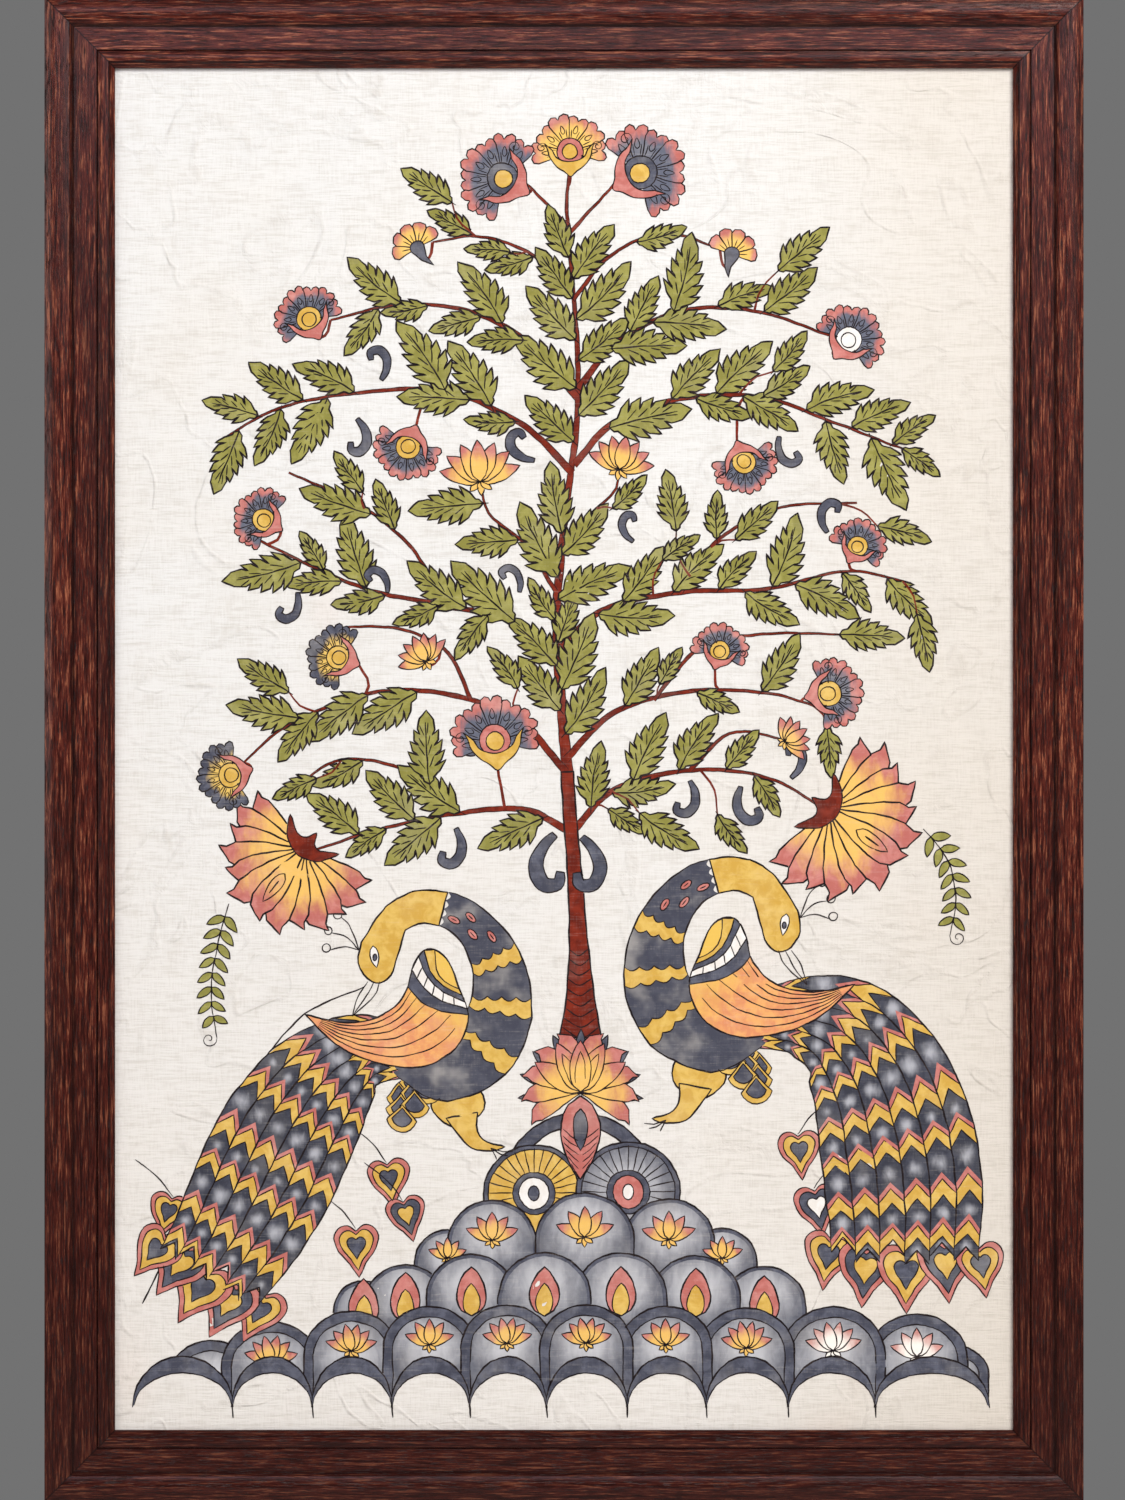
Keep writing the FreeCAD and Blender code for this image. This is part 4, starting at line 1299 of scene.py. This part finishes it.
def divided(points, longest):
    """The same line, with points added so that no step is longer than longest."""
    line = [points[0]]
    for a, b in zip(points, points[1:]):
        parts = max(int(math.ceil(abs(b - a) / longest)), 1)
        line.extend(a + (b - a) * k / parts for k in range(1, parts + 1))
    return line


# Materials

class Shader:
    """A small helper that builds one node material."""

    def __init__(self, name, roughness, specular=0.5, metallic=0.0):
        self.material = bpy.data.materials.new(name)
        self.material.use_nodes = True
        self.nodes = self.material.node_tree.nodes
        self.links = self.material.node_tree.links
        self.surface = self.nodes["Principled BSDF"]
        self.surface.inputs["Roughness"].default_value = roughness
        self.surface.inputs["Specular IOR Level"].default_value = specular
        self.surface.inputs["Metallic"].default_value = metallic
        self.place = self.nodes.new("ShaderNodeTexCoord").outputs["Object"]

    def set(self, socket, value):
        if isinstance(value, bpy.types.NodeSocket):
            self.links.new(value, socket)
        else:
            socket.default_value = value

    def noise(self, scale, detail=3.0, roughness=0.5, distortion=0.0, stretch=(1, 1, 1)):
        mapping = self.nodes.new("ShaderNodeMapping")
        mapping.inputs["Scale"].default_value = [scale * s for s in stretch]
        self.links.new(self.place, mapping.inputs["Vector"])
        node = self.nodes.new("ShaderNodeTexNoise")
        self.links.new(mapping.outputs["Vector"], node.inputs["Vector"])
        settings = {"Scale": 1.0, "Detail": detail, "Roughness": roughness, "Distortion": distortion}
        for name, number in settings.items():
            node.inputs[name].default_value = number
        return node.outputs["Fac"]

    def math(self, operation, a, b=0.0):
        node = self.nodes.new("ShaderNodeMath")
        node.operation = operation
        self.set(node.inputs[0], a)
        self.set(node.inputs[1], b)
        return node.outputs["Value"]

    def times(self, a, b):
        return self.math("MULTIPLY", a, b)

    def plus(self, a, b):
        return self.math("ADD", a, b)

    def off(self, value, centre):
        """How far a value is from centre, either way."""
        return self.math("ABSOLUTE", self.math("SUBTRACT", value, centre))

    def span(self, value, low, high, to_low=0.0, to_high=1.0):
        """A smooth step from to_low to to_high while the value goes from low to high."""
        node = self.nodes.new("ShaderNodeMapRange")
        node.interpolation_type = "SMOOTHSTEP"
        self.set(node.inputs["Value"], value)
        for name, number in (("From Min", low), ("From Max", high), ("To Min", to_low), ("To Max", to_high)):
            node.inputs[name].default_value = number
        return node.outputs["Result"]

    def mix(self, share, a, b):
        node = self.nodes.new("ShaderNodeMix")
        node.data_type = "RGBA"
        self.set(node.inputs["Factor"], share)
        self.set(node.inputs[6], a)
        self.set(node.inputs[7], b)
        return node.outputs[2]

    def tint(self, colour, other, share, strength):
        """The colour, turned to the other one by share times strength."""
        return self.mix(self.times(share, strength), colour, other)

    def parts(self, vector):
        node = self.nodes.new("ShaderNodeSeparateXYZ")
        self.links.new(vector, node.inputs[0])
        return node.outputs

    def bump(self, height, strength, distance):
        node = self.nodes.new("ShaderNodeBump")
        node.inputs["Strength"].default_value = strength
        node.inputs["Distance"].default_value = distance
        self.links.new(height, node.inputs["Height"])
        self.links.new(node.outputs["Normal"], self.surface.inputs["Normal"])

    def done(self, colour, roughness=None):
        self.set(self.surface.inputs["Base Color"], colour)
        if roughness is not None:
            self.set(self.surface.inputs["Roughness"], roughness)
        return self.material


def weave(shader):
    """Plain weave: long level slubs, finer upright threads. Gives their height, 0 to 1."""
    weft = shader.noise(1.0, 2.0, 0.55, stretch=(75, 40, 900))
    slub = shader.noise(1.0, 2.0, 0.6, stretch=(20, 20, 330))
    warp = shader.noise(1.0, 2.0, 0.5, stretch=(900, 40, 90))
    level = shader.plus(shader.times(weft, 0.46), shader.times(slub, 0.30))
    return shader.plus(level, shader.times(warp, 0.24))


def cloth_material():
    """Bleached cotton, a little yellowed, greyed and rubbed, with faint creases that bump it and carry
    painted shade, and painted shade towards the bottom and the right.
    """
    shader = Shader("cotton", 0.92, CLOTH_SPECULAR)
    threads = weave(shader)
    age = shader.span(shader.noise(5.5, 3.0, 0.55), 0.42, 0.78)
    cool = shader.span(shader.noise(9.0, 4.0, 0.6, stretch=(1, 1, 0.8)), 0.50, 0.80)
    pink = shader.span(shader.noise(7.0, 2.0, 0.5, stretch=(1.3, 1, 1)), 0.62, 0.80)
    cloud = shader.noise(60, 4.0, 0.65, 0.6)
    colour = shader.tint(srgb(221, 222, 219), srgb(218, 211, 197), age, 0.35)
    colour = shader.tint(colour, srgb(202, 203, 199), cool, 0.30)
    colour = shader.tint(colour, srgb(226, 209, 199), pink, 0.40)
    place = shader.parts(shader.place)
    # Painted shade: the cloth turns a little darker and warmer towards the bottom, and darker towards the
    # right side, as uneven light leaves it.
    colour = shader.mix(shader.span(place["Z"], 0.02, 0.75, 0.40, 0.0), colour, srgb(224, 215, 202))
    colour = shader.mix(shader.span(place["X"], 0.05, 0.32, 0.0, 0.60), colour, srgb(205, 196, 181))
    colour = shader.tint(colour, srgb(170, 163, 148), shader.span(threads, 0.36, 0.56, 1.0, 0.0), 0.28)
    colour = shader.mix(shader.span(cloud, 0.50, 0.80, 0.0, 0.22), colour, srgb(186, 179, 166))
    fold = shader.off(shader.noise(9, 2.0, 0.5, 1.6), 0.5)
    crease_patches = shader.span(cloud, 0.35, 0.65, 0.1, 0.9)
    # Painted shade: the cloth is darkened along the creases, where their folds would shade it; the crease
    # lines also give the bump below.
    crease_shade = shader.times(shader.span(fold, 0.0, 0.018, 1.0, 0.0), crease_patches)
    colour = shader.tint(colour, srgb(178, 170, 158), crease_shade, 0.14)
    crumple = shader.times(shader.span(fold, 0.0, 0.030, 1.0, 0.0), crease_patches)
    shader.bump(shader.plus(threads, crumple), 1.0, 0.70 * MM)
    return shader.done(colour)


def dye_material(name, main, deep, wash, bare, gradient=None, radial=False, spans=(0, 1), ragged=0.55):
    """A brushed dye: it pools and thins, and the threads' high points take less of it.

    gradient is a second colour that the dye turns into along the shape, or from its middle
    outwards where radial is true. ragged is how unevenly it does so.
    """
    shader = Shader(f"dye_{name}", 0.9, CLOTH_SPECULAR)
    threads = weave(shader)
    pool = shader.noise(120, 4.0, 0.6, 0.4)
    flow = shader.noise(34, 3.0, 0.55)
    colour = shader.mix(shader.span(pool, 0.38, 0.68), deep, main)
    if gradient:
        motif = shader.nodes.new("ShaderNodeUVMap")
        motif.uv_map = "Motif"
        local = shader.parts(motif.outputs["UV"])
        way = local["Y"]
        if radial:
            square = shader.plus(shader.times(local["X"], local["X"]), shader.times(local["Y"], local["Y"]))
            way = shader.math("SQRT", square)
        brush = shader.noise(1.0, 3.0, 0.6, 0.5, stretch=(150, 40, 60))
        for unsteady in (flow, brush):
            way = shader.plus(way, shader.times(shader.math("SUBTRACT", unsteady, 0.5), ragged))
        colour = shader.mix(shader.span(way, *spans), gradient, colour)
    colour = shader.tint(colour, CREAM, shader.span(flow, 0.48, 0.78), wash * 0.5)
    colour = shader.tint(colour, CREAM, shader.span(threads, 0.50, 0.68), bare)
    shader.bump(threads, 0.55, 0.35 * MM)
    return shader.done(colour)


def dye_materials():
    """Every dye, by name: its main and pooled colours, how much it thins, and what it turns into."""
    pale, amber = srgb(244, 238, 228), srgb(230, 190, 100)
    rose = {"main": ROSE, "deep": ROSE_DEEP}
    slate = {"main": SLATE, "deep": SLATE_DEEP}
    recipes = {
        "leaf": {"main": srgb(154, 151, 82), "deep": srgb(132, 129, 64), "wash": 0.18, "bare": 0.09},
        "branch": {"main": srgb(126, 44, 28), "deep": srgb(96, 32, 22), "wash": 0.10, "bare": 0.08},
        "slate": {**slate, "wash": 0.30, "bare": 0.09},
        "brushed": {"main": srgb(80, 82, 93), "deep": SLATE_DEEP, "wash": 0.70, "bare": 0.10},
        "wash": {
            "main": srgb(106, 109, 118),
            "deep": srgb(90, 92, 102),
            "wash": 0.3,
            "bare": 0.14,
            "gradient": srgb(192, 193, 196),
            "radial": True,
            "spans": (0.05, 1.0),
        },
        "plume": {
            "main": srgb(70, 72, 83),
            "deep": srgb(56, 58, 68),
            "wash": 0.2,
            "bare": 0.10,
            "gradient": srgb(168, 170, 176),
            "radial": True,
            "spans": (-0.10, 0.58),
            "ragged": 0.7,
        },
        "ochre": {"main": OCHRE, "deep": srgb(200, 160, 72), "wash": 0.14, "bare": 0.08},
        "rose": {**rose, "wash": 0.26, "bare": 0.10},
        "white": {"main": srgb(234, 232, 228), "deep": srgb(224, 220, 212), "wash": 0.2, "bare": 0.1},
        "bloom": {**rose, "wash": 0.18, "bare": 0.09, "gradient": srgb(228, 184, 100), "spans": (0.42, 0.86)},
        "pale_bloom": {**rose, "wash": 0.5, "bare": 0.3, "gradient": pale, "spans": (0.35, 1.0)},
        "fan": {**rose, "wash": 0.34, "bare": 0.10, "gradient": srgb(98, 102, 116), "spans": (0.62, 0.86)},
        "warm_fan": {**rose, "wash": 0.30, "bare": 0.12, "gradient": amber, "spans": (0.50, 0.95)},
        "cool_fan": {**slate, "wash": 0.40, "bare": 0.12, "gradient": OCHRE, "spans": (0.45, 0.70)},
        "wing": {
            "main": srgb(228, 168, 104),
            "deep": srgb(214, 140, 98),
            "wash": 0.20,
            "bare": 0.10,
            "gradient": srgb(222, 184, 88),
            "spans": (-0.1, 0.6),
        },
    }
    return {name: dye_material(name, **recipe) for name, recipe in recipes.items()}


def ink_material():
    shader = Shader("ink", 0.85, CLOTH_SPECULAR)
    threads = weave(shader)
    fade = shader.span(shader.noise(90, 3.0, 0.6), 0.45, 0.75)
    colour = shader.tint(srgb(30, 24, 26), srgb(82, 70, 66), fade, 0.30)
    return shader.done(shader.tint(colour, srgb(150, 140, 130), shader.span(threads, 0.52, 0.70), 0.28))


def rail_material(name, upright):
    """Dark varnished hardwood with long open pores, a dark mitre line and painted shade in its grooves; the
    grain runs along the rail, the back is raw.
    """
    shader = Shader(name, 0.26, 0.16)

    def along(share):
        return (1, 1, share) if upright else (share, 1, 1)

    fibre = shader.noise(700, 5.0, 0.72, 0.35, along(0.060))
    pores = shader.noise(1300, 2.0, 0.6, 0.2, along(0.075))
    figure = shader.noise(40, 3.0, 0.55, 1.2, along(0.12))
    dark = srgb(34, 11, 8)
    pit = shader.span(pores, 0.57, 0.64)
    colour = shader.mix(shader.span(fibre, 0.38, 0.56), dark, srgb(84, 34, 26))
    colour = shader.tint(colour, srgb(160, 98, 70), shader.span(fibre, 0.53, 0.66), 0.78)
    colour = shader.tint(colour, dark, shader.span(figure, 0.42, 0.70), 0.45)
    colour = shader.tint(colour, srgb(20, 6, 6), pit, 0.80)

    place = shader.parts(shader.place)
    middle = CAD_BOX[1][2] / 2
    from_side = shader.math("SUBTRACT", CAD_BOX[1][0], shader.math("ABSOLUTE", place["X"]))
    from_end = shader.math("SUBTRACT", middle, shader.off(place["Z"], middle))
    across = from_side if upright else from_end
    # A dark line along each mitre joint, and painted shade along the step, quirk and bevel grooves of the
    # moulding.
    mitre_line_and_groove_shade = shader.span(shader.off(from_side, from_end), 0.25 * MM, 1.0 * MM, 1.0, 0.0)
    for groove, reach in ((STEP_FOOT, 2.4 * MM), (QUIRK, 1.3 * MM), (BEVEL_TOP, 1.1 * MM)):
        groove_shade = shader.span(shader.off(across, groove), 0.2 * MM, reach, 0.85, 0.0)
        mitre_line_and_groove_shade = shader.math("MAXIMUM", mitre_line_and_groove_shade, groove_shade)
    colour = shader.tint(colour, srgb(16, 6, 6), mitre_line_and_groove_shade, 0.85)
    # Darker towards the bottom.
    colour = shader.mix(shader.span(place["Z"], 0.0, 0.55, 0.55, 0.0), colour, dark)

    facing = shader.parts(shader.nodes.new("ShaderNodeNewGeometry").outputs["Normal"])
    behind = shader.span(facing["Y"], 0.90, 0.97)
    dusty = shader.span(facing["Z"], 0.90, 0.98)
    raw = shader.mix(shader.span(fibre, 0.38, 0.66), srgb(104, 66, 46), srgb(146, 100, 72))
    gloss = shader.plus(shader.times(pit, 0.30), shader.span(figure, 0.3, 0.8, 0.20, 0.28))
    gloss = shader.plus(gloss, shader.times(behind, 0.40))
    gloss = shader.plus(gloss, shader.times(dusty, 0.30))
    height = shader.math("SUBTRACT", shader.times(fibre, 0.5), shader.times(pit, 0.9))
    shader.bump(height, 0.34, 0.30 * MM)
    return shader.done(shader.mix(behind, colour, raw), gloss)


def softwood_material(name, stretch):
    shader = Shader(name, 0.7)
    grain = shader.noise(260, 3.0, 0.5, 0.6, stretch)
    rings = shader.noise(60, 2.0, 0.5, 1.2, stretch)
    colour = shader.mix(shader.span(grain, 0.35, 0.7), srgb(196, 158, 108), srgb(226, 196, 148))
    shader.bump(grain, 0.3, 0.2 * MM)
    return shader.done(shader.tint(colour, srgb(172, 126, 78), shader.span(rings, 0.5, 0.62), 0.5))


def board_material():
    shader = Shader("hardboard", 0.62)
    fibre = shader.noise(420, 5.0, 0.7)
    cloud = shader.noise(9, 3.0, 0.5)
    colour = shader.mix(shader.span(fibre, 0.35, 0.7), srgb(104, 70, 42), srgb(140, 100, 64))
    shader.bump(fibre, 0.25, 0.15 * MM)
    return shader.done(shader.tint(colour, srgb(92, 62, 40), shader.span(cloud, 0.4, 0.75), 0.4))


def metal_material(name, bright, dull, stretch, roughness):
    shader = Shader(name, roughness, metallic=1.0)
    brush = shader.noise(1500, 3.0, 0.6, 0.0, stretch)
    tarnish = shader.noise(160, 4.0, 0.6)
    shader.bump(brush, 0.15, 0.05 * MM)
    colour = shader.mix(shader.span(tarnish, 0.38, 0.72), dull, bright)
    return shader.done(colour, shader.span(brush, 0.3, 0.7, roughness - 0.08, roughness + 0.10))


def rubber_material():
    shader = Shader("bumper_rubber", 0.78)
    grain = shader.noise(1800, 3.0, 0.6)
    shader.bump(grain, 0.3, 0.1 * MM)
    return shader.done(shader.mix(shader.span(grain, 0.3, 0.7), srgb(26, 26, 27), srgb(46, 46, 47)))


def dress_frame():
    """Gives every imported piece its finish. The cloth has none: the scene's own sheet replaces it."""
    upright = rail_material("rail_wood_upright", True)
    level = rail_material("rail_wood_level", False)
    soft_upright = softwood_material("softwood_upright", (1, 1, 0.06))
    soft_level = softwood_material("softwood_level", (0.06, 1, 1))
    steel = metal_material("zinc_steel", srgb(196, 198, 202), srgb(150, 152, 156), (1, 1, 0.1), 0.34)
    nickel = metal_material("nickel", srgb(214, 210, 200), srgb(172, 168, 158), (0.1, 1, 1), 0.26)
    brass = metal_material("brass", srgb(214, 176, 96), srgb(160, 122, 60), (0.15, 1, 1), 0.32)
    finishes = (
        (upright, ("left_rail", "right_rail")),
        (level, ("top_rail", "bottom_rail")),
        (soft_upright, ("stretcher_left", "stretcher_right")),
        (soft_level, ("stretcher_top", "stretcher_bottom", "stretcher_cross_brace", "stretcher_keys")),
        (steel, ("corner_v_nails", "cloth_staples", "turn_button_screws", "hanger_screws")),
        (nickel, ("hanger_strap_left", "hanger_strap_right", "hanger_ring_left", "hanger_ring_right")),
        (brass, [f"turn_button_{i}" for i in range(1, 9)]),
        (board_material(), ("backing_board",)),
        (rubber_material(), ("wall_bumpers",)),
    )
    for material, names in finishes:
        for name in names:
            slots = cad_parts[name].data.materials
            slots.clear()
            slots.append(material)


# Stage

def camera():
    """Square on, from far enough back that the picture is all but flat, as in the photograph."""
    view_height = 1.0
    lens, sensor = 150.0, 36.0
    front = CAD_BOX[0][1]
    centre_z = (CAD_BOX[0][2] + CAD_BOX[1][2]) / 2
    data = bpy.data.cameras.new("camera")
    data.sensor_fit = "VERTICAL"
    data.sensor_height = sensor
    data.lens = lens
    data.clip_end = 50
    eye = bpy.data.objects.new("camera", data)
    eye.location = (-0.001, front - view_height * lens / sensor, centre_z - 0.0005)
    eye.rotation_euler = (math.radians(90), 0, 0)
    bpy.context.scene.collection.objects.link(eye)
    bpy.context.scene.camera = eye
    bpy.context.scene.view_settings.view_transform = "Standard"


def area_light(name, location, target, size, power, colour):
    data = bpy.data.lights.new(name, "AREA")
    data.shape = "RECTANGLE"
    data.size, data.size_y = size
    data.energy = power
    data.color = colour
    lamp = bpy.data.objects.new(name, data)
    lamp.location = location
    lamp.rotation_euler = (Vector(target) - Vector(location)).to_track_quat("-Z", "Y").to_euler()
    bpy.context.scene.collection.objects.link(lamp)


def studio():
    middle = (0, 0, 0.5)
    area_light("key", (1.3, -2.6, 2.2), middle, (1.4, 1.0), 98, (1.0, 0.985, 0.96))
    area_light("sky", (0.1, -2.9, 1.58), middle, (2.6, 0.6), 22, (0.98, 0.84, 1.0))
    area_light("fill", (-2.5, -2.6, 1.1), middle, (1.6, 1.6), 25, (1.0, 0.985, 0.965))
    area_light("back", (0.6, 2.6, 1.9), middle, (1.8, 1.4), 60, (1.0, 1.0, 1.0))
    world = bpy.data.worlds.new("studio")
    world.use_nodes = True
    world.node_tree.nodes["Background"].inputs["Color"].default_value = srgb(114, 114, 114)
    bpy.context.scene.world = world
    floor_z = -0.35
    corners = [(-3, -3, floor_z), (3, -3, floor_z), (3, 2.2, floor_z), (-3, 2.2, floor_z)]
    mesh = bpy.data.meshes.new("floor")
    mesh.from_pydata(corners, [], [(0, 1, 2, 3)])
    pale = bpy.data.materials.new("floor")
    pale.use_nodes = True
    pale.node_tree.nodes["Principled BSDF"].inputs["Base Color"].default_value = srgb(214, 212, 208)
    pale.node_tree.nodes["Principled BSDF"].inputs["Roughness"].default_value = 0.8
    mesh.materials.append(pale)
    floor = bpy.data.objects.new("floor", mesh)
    bpy.context.scene.collection.objects.link(floor)


camera()
studio()
dress_frame()

noise.seed_set(HAND_SEED)
picture = Picture()
mound(picture)
left_bird(picture)
right_bird(picture)
tree(picture)

cloth, cloth_width, cloth_height, cloth_depth = cloth_sheet(cloth_material())
painted = dye_pieces(picture, dye_materials())
painted.append(ink_piece(picture, ink_material()))
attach(cloth, "frame")
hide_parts("painted_cloth")
for piece in painted:
    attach(piece, "frame")
